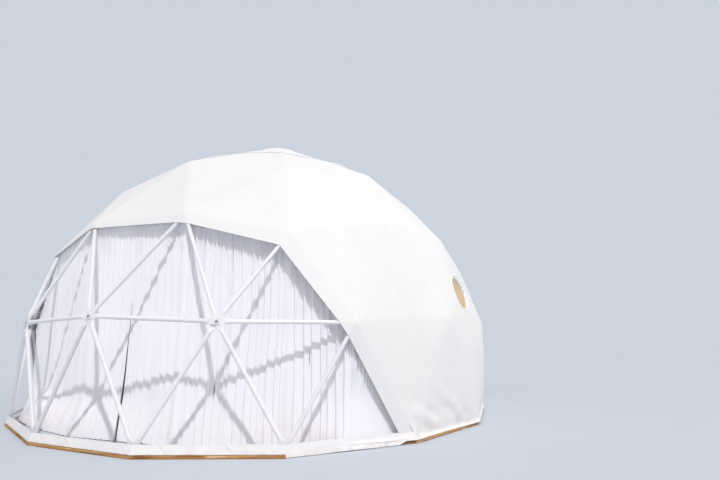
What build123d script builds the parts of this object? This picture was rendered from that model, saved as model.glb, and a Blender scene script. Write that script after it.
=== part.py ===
from build123d import *
import math
import os

# Geodesic dome tent with a clear bay window, in millimetres.
# Z is up, the ground is z = 0 and the middle of the bay window faces -Y.
# Bearings are turned from the window (-Y) toward +X.

# Frame
FRAME_RADIUS = 3660.0
HUB_HEIGHT = 84.0
CHORD_LIMIT = 0.45
BASE_RISE = -0.1716

# Strut tube, its flattened end and the stack of ends on each hub bolt
TUBE_RADIUS = 24.0
TUBE_SIDES = 6
TUBE_WALL = 1.7
TAB_WIDTH = math.pi * (TUBE_RADIUS - TUBE_WALL)
TAB_THICK = 4.0
TAB_FLAT = 68.0
TAB_END = 32.0
TAPER = 66.0
STACK_GAP = 0.3
STACK_DEPTH = 30.0
STACK_SINK = STACK_DEPTH - TUBE_RADIUS

# Hub bolts
HEAD_FLATS = 23.0
HEAD_HIGH = 8.0

# Cover, window film and skirt
SKIN_THICK = 1.6
FIT = 0.3
SEAM = 0.5
FACET_TILT = 7.5
TUBE_HALF_TURN = math.radians(180.0 / TUBE_SIDES)
TUBE_CORNER = TUBE_RADIUS / math.cos(TUBE_HALF_TURN)
SKIN_LIFT = TUBE_CORNER * math.cos(TUBE_HALF_TURN - math.radians(FACET_TILT)) + FIT
# The cover sits off centre over the window, so its hem is wider toward the right
HEM_WIDTHS = (85.0, 80.0, 75.0, 85.0, 130.0, 185.0, 160.0, 160.0)
SKIRT_TOP = 134.0
WINDOW_BASE_BEARING = 61.0
WINDOW_WAIST_BEARING = 48.5
WINDOW_HEAD_BEARING = 36.5

# Sill boards and anchor brackets
BOARD_HIGH = 38.0
BOARD_OUT = 55.0
BOARD_OUT_BEHIND = 20.0
BOARD_IN = 85.0
BOARD_GAP = 0.6
SKIRT_FOOT = BOARD_HIGH + FIT
SKIRT_FLOOR = 4.0
BRACKET_WIDE = 60.0
BRACKET_THICK = 5.0
BRACKET_RISE = 36.0
BRACKET_FOOT = 62.0

# Doorway on the rear, where one hub and its struts are left out
DOOR_BEARING = 144.0
DOOR_HALF = 500.0
DOOR_HIGH = 2080.0
POST_LINE = 545.0
DOOR_LIFT = 5.0
FLAP_RADIUS = 55.0
FLAP_OVERHANG = 60.0
POST_PLATE_IN = 60.0
POST_PLATE_OUT = 20.0

# Portholes
PORT_BEARING = 84.6
PORT_HOLE = 275.0
PORT_RING_OUT = 312.0
PORT_RING_IN = 255.0
PORT_RING_THICK = 3.0
PORT_PANE_THICK = 1.2

# Rain cap over the crown
CAP_RIM = 3915.0
CAP_THICK = 2.0
CAP_ROW = 3

# Curtains and their rail, which follow the rim of the window
RAIL_DROP = 62.0
RAIL_BACK = (40.0, 125.0, 72.0)
RAIL_RADIUS = 11.0
RAIL_SIDES = 8
RAIL_CLEAR = 7.0
RAIL_STOP = 150.0
HANGER_WIDE = 14.0
HANGER_THICK = 3.0
CURTAIN_FOOT = 25.0
CURTAIN_OVER_BOARD = 10.0
CURTAIN_THICK = 3.0
PLEAT_DEPTH = 26.0
PLEAT_PITCH = 150.0
CURTAIN_SPARE = 14.0


# Vectors and planes

def direction(bearing):
    """Unit vector that points level toward a bearing."""
    turned = math.radians(bearing - 90.0)
    return Vector(math.cos(turned), math.sin(turned), 0)


def bearing_of(point):
    return math.degrees(math.atan2(point.X, -point.Y))


def bearing_gap(one, other):
    return abs((one - other + 180.0) % 360.0 - 180.0)


def meet(*planes):
    """Point where three planes meet, each given as (normal, distance)."""
    (n1, d1), (n2, d2), (n3, d3) = planes
    scale = n1.dot(n2.cross(n3))
    total = n2.cross(n3) * d1 + n3.cross(n1) * d2 + n1.cross(n2) * d3
    return total / scale


def plane_at(normal, point, lift=0.0):
    unit = normal.normalized()
    return unit, unit.dot(point) + lift


def solid_of(polygons):
    """Closed solid from flat polygons."""
    faces = [Face(Wire.make_polygon(corners, close=True)) for corners in polygons]
    made = Solid(Shell(faces))
    if made.volume < 0:
        made = Solid(made.wrapped.Reversed())
    return made


def block(lower, upper):
    """Solid between two matching polygons, with flat sides."""
    count = len(lower)
    sides = []
    for i in range(count):
        j = (i + 1) % count
        sides.append([lower[i], lower[j], upper[j], upper[i]])
    return solid_of([list(reversed(lower)), upper] + sides)


def panel(inner, outer, edges):
    """Flat panel between two parallel planes, trimmed by edge planes in order."""
    lower = []
    upper = []
    for i in range(len(edges)):
        before = edges[i - 1]
        after = edges[i]
        lower.append(meet(inner, before, after))
        upper.append(meet(outer, before, after))
    return block(lower, upper)


# Hubs of a three-frequency dome, five ninths of the sphere

CENTRE = Vector(0, 0, HUB_HEIGHT - BASE_RISE * FRAME_RADIUS)
CORNER_RISE = 1.0 / math.sqrt(5.0)
CORNER_REACH = 2.0 / math.sqrt(5.0)
APEX = Vector(0, 0, 1)


def upper_corner(k):
    return direction(36.0 + 72.0 * k) * CORNER_REACH + APEX * CORNER_RISE


def lower_corner(k):
    return direction(72.0 * k) * CORNER_REACH - APEX * CORNER_RISE


def hub_directions():
    """Rows of unit vectors, from the ground ring (0) to the apex (5)."""
    rows = [[] for _ in range(6)]
    rows[5].append(APEX)
    for k in range(5):
        left = upper_corner(k)
        right = upper_corner(k + 1)
        below = lower_corner(k)
        between = lower_corner(k + 1)
        rows[4].append(APEX * 2 + left)
        rows[3] += [APEX + left * 2, APEX + left + right]
        rows[2] += [left, left * 2 + right, left + right * 2]
        rows[1] += [left * 2 + between, left * 2 + below, left + right + between]
        rows[0] += [left + between * 2, left + below * 2, left + below + between]
    return [[spot.normalized() for spot in row] for row in rows]


class Hub:
    def __init__(self, row, unit):
        self.row = row
        self.unit = unit
        self.bearing = bearing_of(unit)
        placed = unit
        if row == 0:
            reach = math.sqrt(1.0 - BASE_RISE ** 2)
            placed = direction(self.bearing) * reach + APEX * BASE_RISE
        self.normal = placed.normalized()
        self.point = CENTRE + placed * FRAME_RADIUS
        self.ends = []

    def level(self, strut):
        """Height of a strut's flattened end in the stack on this hub."""
        pitch = TAB_THICK + STACK_GAP
        place = self.ends.index(strut)
        return (place - (len(self.ends) - 1) / 2.0) * pitch - STACK_SINK

    def stack_half(self):
        pitch = TAB_THICK + STACK_GAP
        return (len(self.ends) - 1) / 2.0 * pitch + TAB_THICK / 2.0


ALL_HUBS = [Hub(row, unit) for row, units in enumerate(hub_directions()) for unit in units]


def nearest(row, bearing):
    same = [hub for hub in ALL_HUBS if hub.row == row]
    return min(same, key=lambda hub: bearing_gap(hub.bearing, bearing))


def joined(one, other):
    return one is not other and (one.unit - other.unit).length < CHORD_LIMIT


DOOR_HUB = nearest(1, DOOR_BEARING)
DOOR_SILL = sorted([hub for hub in ALL_HUBS if hub.row == 0 and joined(hub, DOOR_HUB)],
                   key=lambda hub: hub.bearing)
DOOR_HEAD = sorted([hub for hub in ALL_HUBS if hub.row == 2 and joined(hub, DOOR_HUB)],
                   key=lambda hub: hub.bearing)
DOOR_SIDE = sorted([hub for hub in ALL_HUBS if hub.row == 1 and joined(hub, DOOR_HUB)],
                   key=lambda hub: hub.bearing)
HUBS = [hub for hub in ALL_HUBS if hub is not DOOR_HUB]

# Right of the window's middle the skirt hangs to the floor in front of a set-back board
DRAPED_SPAN = (nearest(0, 36.0), nearest(0, WINDOW_BASE_BEARING))


# Struts: tube ends pressed flat, bent to the hub and stacked on one bolt

class Strut:
    def __init__(self, one, other):
        self.hubs = (one, other)

    def name(self):
        low, high = sorted(hub.row for hub in self.hubs)
        if low == high:
            return ("base_ring", "waist_ring", "shoulder_ring", "upper_ring", "crown_ring")[low]
        lattices = ("lower_lattice", "middle_lattice", "upper_lattice", "crown_lattice", "apex_struts")
        return lattices[low]

    def section(self, hub, other):
        """End, bend and taper outlines of this strut at one hub."""
        along = (other.point - hub.point).normalized()
        across = along.cross(hub.normal).normalized()
        flat = hub.normal.cross(across) * -1
        if flat.dot(along) < 0:
            flat = flat * -1
        rise = across.cross(along)
        if rise.dot(hub.normal) < 0:
            rise = rise * -1
        middle = hub.point + hub.normal * hub.level(self)
        side = across * (TAB_WIDTH / 2.0)
        end = []
        bend = []
        bend_plane = plane_at(along, middle + flat * TAB_FLAT)
        for up, out in ((-1, -1), (-1, 1), (1, 1), (1, -1)):
            corner = middle + hub.normal * (up * TAB_THICK / 2.0) + side * out
            end.append(corner - flat * TAB_END)
            travel = (bend_plane[1] - bend_plane[0].dot(corner)) / bend_plane[0].dot(flat)
            bend.append(corner + flat * travel)
        reach = hub.point + along * (TAB_FLAT + TAPER)
        ring = []
        for k in range(TUBE_SIDES):
            turned = 2.0 * TUBE_HALF_TURN * k
            corner = across * math.cos(turned) + rise * math.sin(turned)
            ring.append(reach + corner * TUBE_CORNER)
        return end, bend, ring

    def faces(self, end, bend, ring):
        """Faces of one flattened end, from its tip to the full tube."""
        made = [end]
        for i in range(4):
            j = (i + 1) % 4
            made.append([end[i], end[j], bend[j], bend[i]])
        # Corners of the tab in the order left low, right low, right high, left high
        made.append([bend[0], bend[1], ring[5], ring[4]])
        made.append([bend[1], ring[5], ring[0]])
        made.append([bend[1], bend[2], ring[0]])
        made.append([bend[2], ring[0], ring[1]])
        made.append([bend[2], bend[3], ring[2], ring[1]])
        made.append([bend[3], ring[2], ring[3]])
        made.append([bend[3], bend[0], ring[3]])
        made.append([bend[0], ring[3], ring[4]])
        return made

    def solid(self):
        one, other = self.hubs
        first = self.section(one, other)
        second = self.section(other, one)
        polygons = self.faces(*first) + self.faces(*second)
        # The far ring runs the other way round, seen from its own hub
        near = first[2]
        far = [second[2][(TUBE_SIDES // 2 - k) % TUBE_SIDES] for k in range(TUBE_SIDES)]
        for k in range(TUBE_SIDES):
            j = (k + 1) % TUBE_SIDES
            polygons.append([near[k], near[j], far[j], far[k]])
        return solid_of(polygons)


def make_struts():
    struts = []
    for i, one in enumerate(HUBS):
        for other in HUBS[i + 1:]:
            at_door = one in DOOR_SILL and other in DOOR_SILL
            if joined(one, other) and not at_door:
                struts.append(Strut(one, other))
    for hub in HUBS:
        east = APEX.cross(hub.normal)
        if east.length < 0.01:
            east = Vector(1, 0, 0)
        east = east.normalized()
        north = hub.normal.cross(east)

        def turn(strut, hub=hub, east=east, north=north):
            other = strut.hubs[0] if strut.hubs[1] is hub else strut.hubs[1]
            away = other.point - hub.point
            return math.atan2(away.dot(north), away.dot(east))

        hub.ends = sorted([strut for strut in struts if hub in strut.hubs], key=turn)
    return struts


STRUTS = make_struts()


def polygon_steps(inner_radius, sides):
    """Corners of a regular polygon that has a flat face square to its first axis."""
    half_turn = math.pi / sides
    radius = inner_radius / math.cos(half_turn)
    turns = [half_turn * (2 * k + 1) for k in range(sides)]
    return [(radius * math.cos(turned), radius * math.sin(turned)) for turned in turns]


def hexagon(centre, normal, flats):
    side = Plane(origin=centre, z_dir=normal).x_dir
    other = normal.cross(side)
    radius = flats / math.sqrt(3.0)
    spots = []
    for k in range(6):
        turned = math.radians(60.0 * k)
        spots.append(centre + side * (radius * math.cos(turned)) + other * (radius * math.sin(turned)))
    return spots


def prism(spots, travel):
    return block(spots, [spot + travel for spot in spots])


def bolt_head(hub):
    """Head of the one bolt that clamps the stack of strut ends."""
    seat = hub.point + hub.normal * (hub.stack_half() + STACK_GAP - STACK_SINK)
    return prism(hexagon(seat, hub.normal, HEAD_FLATS), hub.normal * HEAD_HIGH)


# Sill boards and brackets at the ground

def base_hubs():
    return sorted([hub for hub in HUBS if hub.row == 0], key=lambda hub: hub.bearing)


def ring_pairs(hubs):
    return [(hubs[i], hubs[(i + 1) % len(hubs)]) for i in range(len(hubs))]


def outward(one, other):
    """Level direction square to the line between two base hubs."""
    middle = (one.point + other.point) * 0.5
    return Vector(middle.X, middle.Y, 0).normalized()


def corner_plane(hub, toward, gap):
    """Upright plane through the axis and a hub, set back from it."""
    level = Vector(hub.normal.X, hub.normal.Y, 0).normalized()
    side = APEX.cross(level)
    if side.dot(toward.point - hub.point) < 0:
        side = side * -1
    return side, side.dot(hub.point) + gap


def sill_board(one, other):
    out = outward(one, other)
    reach = out.dot(one.point)
    front = BOARD_OUT_BEHIND if (one, other) == DRAPED_SPAN else BOARD_OUT
    edges = [
        (out, reach - BOARD_IN),
        corner_plane(other, one, BOARD_GAP / 2.0),
        (out, reach + front),
        corner_plane(one, other, BOARD_GAP / 2.0),
    ]
    return panel((APEX, 0.0), (APEX, BOARD_HIGH), edges)


def base_bracket(hub):
    """Bent plate: one leg on the hub bolt, the other on the sill board."""
    level = Vector(hub.normal.X, hub.normal.Y, 0).normalized()
    side = APEX.cross(level)
    up = hub.normal.cross(side)
    if up.Z < 0:
        up = up * -1
    middle = hub.point - hub.normal * (STACK_SINK + hub.stack_half() + STACK_GAP)
    face = (hub.normal, hub.normal.dot(middle))
    back = (hub.normal, face[1] - BRACKET_THICK)
    seat = (APEX, BOARD_HIGH + FIT)
    shelf = (APEX, BOARD_HIGH + FIT + BRACKET_THICK)
    top = (up, up.dot(middle) + BRACKET_RISE)
    left = (side, side.dot(middle) - BRACKET_WIDE / 2.0)
    right = (side, side.dot(middle) + BRACKET_WIDE / 2.0)
    rear = (level, level.dot(middle) - BRACKET_FOOT)

    def outline(cheek):
        return [
            meet(face, seat, cheek),
            meet(face, top, cheek),
            meet(back, top, cheek),
            meet(back, shelf, cheek),
            meet(rear, shelf, cheek),
            meet(rear, seat, cheek),
        ]

    return block(outline(left), outline(right))


# Cover, cut facet by facet as it lies on the frame

def facets():
    found = []
    for i, one in enumerate(ALL_HUBS):
        for j, other in enumerate(ALL_HUBS[i + 1:], i + 1):
            if not joined(one, other):
                continue
            for third in ALL_HUBS[j + 1:]:
                if joined(one, third) and joined(other, third):
                    found.append((one, other, third))
    return found


FACETS = facets()
SKIN_FACETS = [facet for facet in FACETS if DOOR_HUB not in facet]


def facet_normal(spots):
    one, other, third = spots
    normal = (other.point - one.point).cross(third.point - one.point).normalized()
    if normal.dot(one.point - CENTRE) < 0:
        normal = normal * -1
    return normal


def ordered(facet):
    """Hubs of a facet, anticlockwise seen from outside."""
    one, other, third = facet
    normal = facet_normal(facet)
    if (other.point - one.point).cross(third.point - one.point).dot(normal) < 0:
        return one, third, other
    return one, other, third


def edge_plane(one, other, facet, gap):
    """Plane through the dome's centre and one strut, set back into the facet."""
    normal = (one.point - CENTRE).cross(other.point - CENTRE).normalized()
    inside = [hub for hub in facet if hub is not one and hub is not other][0]
    if normal.dot(inside.point - one.point) < 0:
        normal = normal * -1
    return normal, normal.dot(one.point) + gap


def skin_planes(facet, lift=SKIN_LIFT, thick=SKIN_THICK):
    normal = facet_normal(facet)
    reach = normal.dot(facet[0].point)
    return (normal, reach + lift), (normal, reach + lift + thick)


def skin_panel(facet, lift=SKIN_LIFT):
    one, other, third = ordered(facet)
    edges = [
        edge_plane(one, other, facet, SEAM / 2.0),
        edge_plane(other, third, facet, SEAM / 2.0),
        edge_plane(third, one, facet, SEAM / 2.0),
    ]
    inner, outer = skin_planes(facet, lift)
    return panel(inner, outer, edges)


def in_window(facet):
    limits = (WINDOW_BASE_BEARING, WINDOW_WAIST_BEARING, WINDOW_HEAD_BEARING)
    for hub in facet:
        if hub.row > 2:
            return False
        if abs(hub.bearing) > limits[hub.row]:
            return False
    return True


def facet_rows(facet):
    return min(hub.row for hub in facet), max(hub.row for hub in facet)


def facet_bearing(facet):
    middle = (facet[0].point + facet[1].point + facet[2].point) / 3.0
    return bearing_of(middle)


def cover_name(facet):
    low, high = facet_rows(facet)
    bearing = facet_bearing(facet)
    side = "right" if bearing > 0 else "left"
    if abs(bearing) > 120.0:
        side = "rear_" + side
    if low == 0:
        return "cover_lower_" + side
    if low == 1:
        return "cover_middle_" + side
    if low == 2:
        return "cover_upper_" + ("front" if abs(bearing) < 90.0 else "rear")
    return "cover_crown"


# Portholes in two facets of the middle band

def port_facet(sign):
    wanted = sign * PORT_BEARING
    band = [facet for facet in SKIN_FACETS if facet_rows(facet) == (1, 2)]
    band = [facet for facet in band if sum(1 for hub in facet if hub.row == 1) == 2]
    return min(band, key=lambda facet: bearing_gap(facet_bearing(facet), wanted))


PORT_FACETS = [port_facet(1), port_facet(-1)]


def port_plane(facet, lift):
    normal = facet_normal(facet)
    middle = (facet[0].point + facet[1].point + facet[2].point) / 3.0
    return Plane(origin=middle + normal * lift, z_dir=normal)


def disc(facet, lift, thick, radius, hole=0.0):
    outline = port_plane(facet, lift) * Circle(radius)
    if hole > 0:
        outline = outline - port_plane(facet, lift) * Circle(hole)
    return extrude(outline, amount=thick, dir=facet_normal(facet))


def port_cut(facet):
    return disc(facet, SKIN_LIFT - 5.0, SKIN_THICK + 10.0, PORT_HOLE)


# Welded hem of the cover along the window

def window_rim():
    """Hubs along the rim of the window, from left to right."""
    shoulder = [hub for hub in HUBS if hub.row == 2 and abs(hub.bearing) <= WINDOW_HEAD_BEARING]
    left = [nearest(0, -WINDOW_BASE_BEARING), nearest(1, -WINDOW_WAIST_BEARING)]
    right = [nearest(1, WINDOW_WAIST_BEARING), nearest(0, WINDOW_BASE_BEARING)]
    return left + sorted(shoulder, key=lambda hub: hub.bearing) + right


RIM = window_rim()
RIM_PAIRS = list(zip(RIM, RIM[1:]))


def third_hub(facet, one, other):
    return [hub for hub in facet if hub is not one and hub is not other][0]


def hem_mark(hub, along_side, beside):
    """Where the hem's inner edge crosses the strut from one rim hub toward another hub."""
    side = (along_side.point - hub.point).normalized()
    rim = (beside.point - hub.point).normalized()
    sine = math.sqrt(1.0 - side.dot(rim) ** 2)
    return hub.point + side * (HEM_WIDTHS[RIM.index(hub)] / sine)


def hem_limit(facet, first, second, keep):
    """Plane square to a facet through two marks, with the hem on the side of one hub."""
    inward = facet_normal(facet).cross(second - first).normalized()
    if inward.dot(keep.point - first) > 0:
        inward = inward * -1
    return inward, inward.dot(first)


def hem_planes(facet):
    return skin_planes(facet, SKIN_LIFT + SKIN_THICK + FIT, SKIN_THICK)


def hem_strip(facet, one, other):
    """Hem along the rim strut between two hubs."""
    third = third_hub(facet, one, other)
    inner, outer = hem_planes(facet)
    limit = hem_limit(facet, hem_mark(one, third, other), hem_mark(other, third, one), one)
    edges = [
        edge_plane(one, other, facet, SEAM / 2.0),
        edge_plane(other, third, facet, SEAM / 2.0),
        limit,
        edge_plane(third, one, facet, SEAM / 2.0),
    ]
    return panel(inner, outer, edges)


def hem_corner(facet, hub, before, after):
    """Corner of hem in a facet that touches the rim at one hub only."""
    others = [spot for spot in facet if spot is not hub]
    marks = []
    for spot in others:
        beside = before if joined(spot, before) else after
        marks.append(hem_mark(hub, spot, beside))
    inner, outer = hem_planes(facet)
    edges = [
        edge_plane(hub, others[0], facet, SEAM / 2.0),
        hem_limit(facet, marks[0], marks[1], hub),
        edge_plane(hub, others[1], facet, SEAM / 2.0),
    ]
    return panel(inner, outer, edges)


def window_hems():
    window = [facet for facet in FACETS if in_window(facet)]
    pieces = []
    for one, other in RIM_PAIRS:
        facet = [found for found in window if one in found and other in found][0]
        pieces.append(hem_strip(facet, one, other))
    for before, hub, after in zip(RIM, RIM[1:], RIM[2:]):
        for facet in window:
            if hub in facet and before not in facet and after not in facet:
                pieces.append(hem_corner(facet, hub, before, after))
    return pieces


# Skirt from the lowest ring down to the sill boards

def skirt_panel(one, other):
    facet = [found for found in FACETS if one in found and other in found][0]
    lift = SKIN_LIFT + SKIN_THICK + FIT
    if in_window(facet):
        lift += SKIN_THICK + FIT
    normal = facet_normal(facet)
    reach = normal.dot(one.point)
    low = (APEX, SKIRT_FLOOR if (one, other) == DRAPED_SPAN else SKIRT_FOOT)
    high = (APEX, SKIRT_TOP)
    ends = []
    for hub, mate in ((other, one), (one, other)):
        if hub in DOOR_SILL:
            third = [spot for spot in facet if spot not in (one, other)][0]
            ends.append(edge_plane(hub, third, facet, SEAM / 2.0))
        else:
            ends.append(corner_plane(hub, mate, SEAM / 2.0))
    edges = [low, ends[0], high, ends[1]]
    return panel((normal, reach + lift), (normal, reach + lift + SKIN_THICK), edges)


# Doorway

def door_axes():
    """Sideways, upward and outward directions of the flat door wall, and its middle."""
    left, right = DOOR_SILL
    across = (right.point - left.point).normalized()
    foot = (left.point + right.point) * 0.5
    head = (DOOR_HEAD[0].point + DOOR_HEAD[1].point) * 0.5
    up = (head - foot).normalized()
    out = across.cross(up)
    if out.dot(foot - CENTRE) < 0:
        out = out * -1
    return across, up, out, foot, head


def door_frame():
    across, up, out, foot, head = door_axes()
    pieces = []
    stop = (head - foot).length - TUBE_CORNER - FIT
    for sign in (-1, 1):
        line = foot + across * (sign * POST_LINE)
        lower = []
        upper = []
        for side, depth in polygon_steps(TUBE_RADIUS, TUBE_SIDES):
            spot = line + across * side + out * depth
            floor = BOARD_HIGH + FIT + BRACKET_THICK + FIT
            lower.append(spot + up * ((floor - spot.Z) / up.Z))
            upper.append(spot + up * stop)
        pieces.append(block(lower, upper))
        level_out = Vector(out.X, out.Y, 0).normalized()
        plate = line + up * ((BOARD_HIGH + FIT - line.Z) / up.Z)
        edges = [
            (level_out, level_out.dot(plate) - POST_PLATE_IN),
            (across, across.dot(plate) + POST_PLATE_IN),
            (level_out, level_out.dot(plate) + POST_PLATE_OUT),
            (across, across.dot(plate) - POST_PLATE_IN),
        ]
        seat = (APEX, BOARD_HIGH + FIT)
        pieces.append(panel(seat, (APEX, BOARD_HIGH + FIT + BRACKET_THICK), edges))
    height = (DOOR_HIGH + TUBE_RADIUS - foot.Z) / up.Z
    ends = []
    for sign in (-1, 1):
        centre = foot + up * height + across * (sign * (POST_LINE - TUBE_RADIUS - FIT))
        ends.append([centre + up * a + out * b for a, b in polygon_steps(TUBE_RADIUS, TUBE_SIDES)])
    pieces.append(block(ends[0], ends[1]))
    return pieces


def door_wall():
    """Flat fabric wall around the doorway and its two triangular returns."""
    across, up, out, foot, head = door_axes()
    reach = out.dot(foot)
    lift = SKIN_LIFT + DOOR_LIFT
    inner = (out, reach + lift)
    outer = (out, reach + lift + SKIN_THICK)
    middle = across.dot(foot)
    bottom = (APEX, SKIRT_FOOT)
    top_normal = (DOOR_HEAD[0].point - CENTRE).cross(DOOR_HEAD[1].point - CENTRE).normalized()
    if top_normal.Z < 0:
        top_normal = top_normal * -1
    top = (top_normal, top_normal.dot(DOOR_HEAD[0].point) - SEAM / 2.0)
    lintel = (APEX, DOOR_HIGH)
    pieces = []
    for sign, low_hub, high_hub in ((-1, DOOR_SILL[0], DOOR_HEAD[0]), (1, DOOR_SILL[1], DOOR_HEAD[1])):
        side_normal = (low_hub.point - CENTRE).cross(high_hub.point - CENTRE).normalized()
        if side_normal.dot(across) * sign < 0:
            side_normal = side_normal * -1
        side = (side_normal, side_normal.dot(low_hub.point) - SEAM / 2.0)
        jamb = (across, middle + sign * DOOR_HALF)
        edges = [bottom, side, top, jamb]
        pieces.append(panel(inner, outer, edges))
    left_jamb = (across, middle - DOOR_HALF + SEAM)
    right_jamb = (across, middle + DOOR_HALF - SEAM)
    pieces.append(panel(inner, outer, [lintel, right_jamb, top, left_jamb]))
    return pieces


def door_returns():
    triangles = [(DOOR_SILL[0], DOOR_SIDE[0], DOOR_HEAD[0]), (DOOR_SILL[1], DOOR_SIDE[1], DOOR_HEAD[1])]
    return [skin_panel(triangle, SKIN_LIFT + DOOR_LIFT) for triangle in triangles]


def door_flap():
    """Door flap rolled up above the doorway."""
    across, up, out, foot, head = door_axes()
    height = (DOOR_HIGH - foot.Z) / up.Z + FLAP_RADIUS + 20.0
    lift = SKIN_LIFT + DOOR_LIFT + SKIN_THICK + FIT + FLAP_RADIUS
    start = foot + up * height + out * lift - across * (DOOR_HALF + FLAP_OVERHANG)
    outline = Plane(origin=start, z_dir=across) * Circle(FLAP_RADIUS)
    return extrude(outline, amount=2.0 * (DOOR_HALF + FLAP_OVERHANG), dir=across)


# Rain cap that lies over the crown and ends in a level rim

def cap_panel(facet):
    rim = (APEX, CAP_RIM)
    hubs = ordered(facet)
    edges = []
    for one, other, third in zip(hubs, hubs[1:] + hubs[:1], hubs[2:] + hubs[:2]):
        if one.row == CAP_ROW and other.row == CAP_ROW:
            edges.append(rim)
            continue
        edges.append(edge_plane(one, other, facet, SEAM / 2.0))
        if other.row == CAP_ROW and third.row != CAP_ROW:
            edges.append(rim)
    inner, outer = skin_planes(facet, SKIN_LIFT + SKIN_THICK + FIT, CAP_THICK)
    return panel(inner, outer, edges)


def crown_cap():
    return [cap_panel(facet) for facet in SKIN_FACETS if facet_rows(facet)[0] >= CAP_ROW]


# Curtain rail and curtains, which hang straight down inside the window's rim

def rail_mark(hub):
    """Spot on the rail's line beside a hub."""
    level = Vector(hub.normal.X, hub.normal.Y, 0).normalized()
    return hub.point - level * RAIL_BACK[hub.row] - APEX * RAIL_DROP


def rail_line(one, other):
    """Ends of one length of rail, with its direction and the level way out of the room."""
    start = rail_mark(one)
    stop = rail_mark(other)
    along = (stop - start).normalized()
    start_trim = RAIL_STOP if one.row == 0 else RAIL_CLEAR
    stop_trim = RAIL_STOP if other.row == 0 else RAIL_CLEAR
    out = along.cross(APEX).normalized()
    return start + along * start_trim, stop - along * stop_trim, along, out


def rail_section(along, out):
    rise = out.cross(along).normalized()
    return [out * a + rise * b for a, b in polygon_steps(RAIL_RADIUS, RAIL_SIDES)]


def rail_piece(one, other):
    start, stop, along, out = rail_line(one, other)
    return prism([start + corner for corner in rail_section(along, out)], stop - start)


def rail_hangers(one, other):
    """Flat straps that carry the rail from the rim strut."""
    start, stop, along, out = rail_line(one, other)
    strut = (other.point - one.point).normalized()
    radial = ((one.point + other.point) * 0.5 - CENTRE).normalized()
    face_turn = 360.0 / TUBE_SIDES
    pieces = []
    for share in (0.2, 0.8):
        hold = start + (stop - start) * share
        above = one.point + strut * strut.dot(hold - one.point)
        reach = (above - hold).normalized()
        face = strut.cross(reach).normalized()
        square = (reach - along * along.dot(reach)).normalized()
        surface = max(square.dot(corner) for corner in rail_section(along, out)) + FIT
        # The strap ends on whichever flat of the strut faces the rail
        turned = math.degrees(math.acos(max(-1.0, min(1.0, reach.dot(radial))))) % face_turn
        slant = math.radians(min(turned, face_turn - turned))
        high = above - reach * (TUBE_RADIUS / math.cos(slant) + HANGER_THICK / 2.0 * math.tan(slant) + FIT)
        lower = []
        upper = []
        for a, b in ((-1, -1), (1, -1), (1, 1), (-1, 1)):
            corner = strut * (a * HANGER_WIDE / 2.0) + face * (b * HANGER_THICK / 2.0)
            travel = (surface - square.dot(corner)) / square.dot(reach)
            lower.append(hold + corner + reach * travel)
            upper.append(high + corner)
        pieces.append(block(lower, upper))
    return pieces


def curtain_panel(one, other):
    """Pleated sheet that hangs from one length of rail."""
    start, stop, along, out = rail_line(one, other)
    level = Vector(along.X, along.Y, 0)
    slope = along.Z / level.length
    level = level.normalized()
    width = level.dot(stop - start) - 2.0 * CURTAIN_SPARE
    first = Vector(start.X, start.Y, 0) + level * CURTAIN_SPARE
    count = 2 * max(2, round(width / PLEAT_PITCH))
    front = []
    back = []
    for i in range(count + 1):
        swing = PLEAT_DEPTH / 2.0 if i % 2 else -PLEAT_DEPTH / 2.0
        spot = first + level * (width * i / count) + out * swing
        front.append(spot + out * (CURTAIN_THICK / 2.0))
        back.append(spot - out * (CURTAIN_THICK / 2.0))
    outline = front + list(reversed(back))
    # Beside the lowest struts the sheet stops above the sill board
    over_board = min(one.row, other.row) < 2
    foot = BOARD_HIGH + CURTAIN_OVER_BOARD if over_board else CURTAIN_FOOT
    drop = (RAIL_RADIUS + FIT) * math.sqrt(1.0 + slope ** 2)
    upper = []
    for spot in outline:
        run = level.dot(spot - start)
        upper.append(Vector(spot.X, spot.Y, start.Z + slope * run - drop))
    return block([spot + APEX * foot for spot in outline], upper)


# Parts of the dome, each with the solids that share its node

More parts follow.
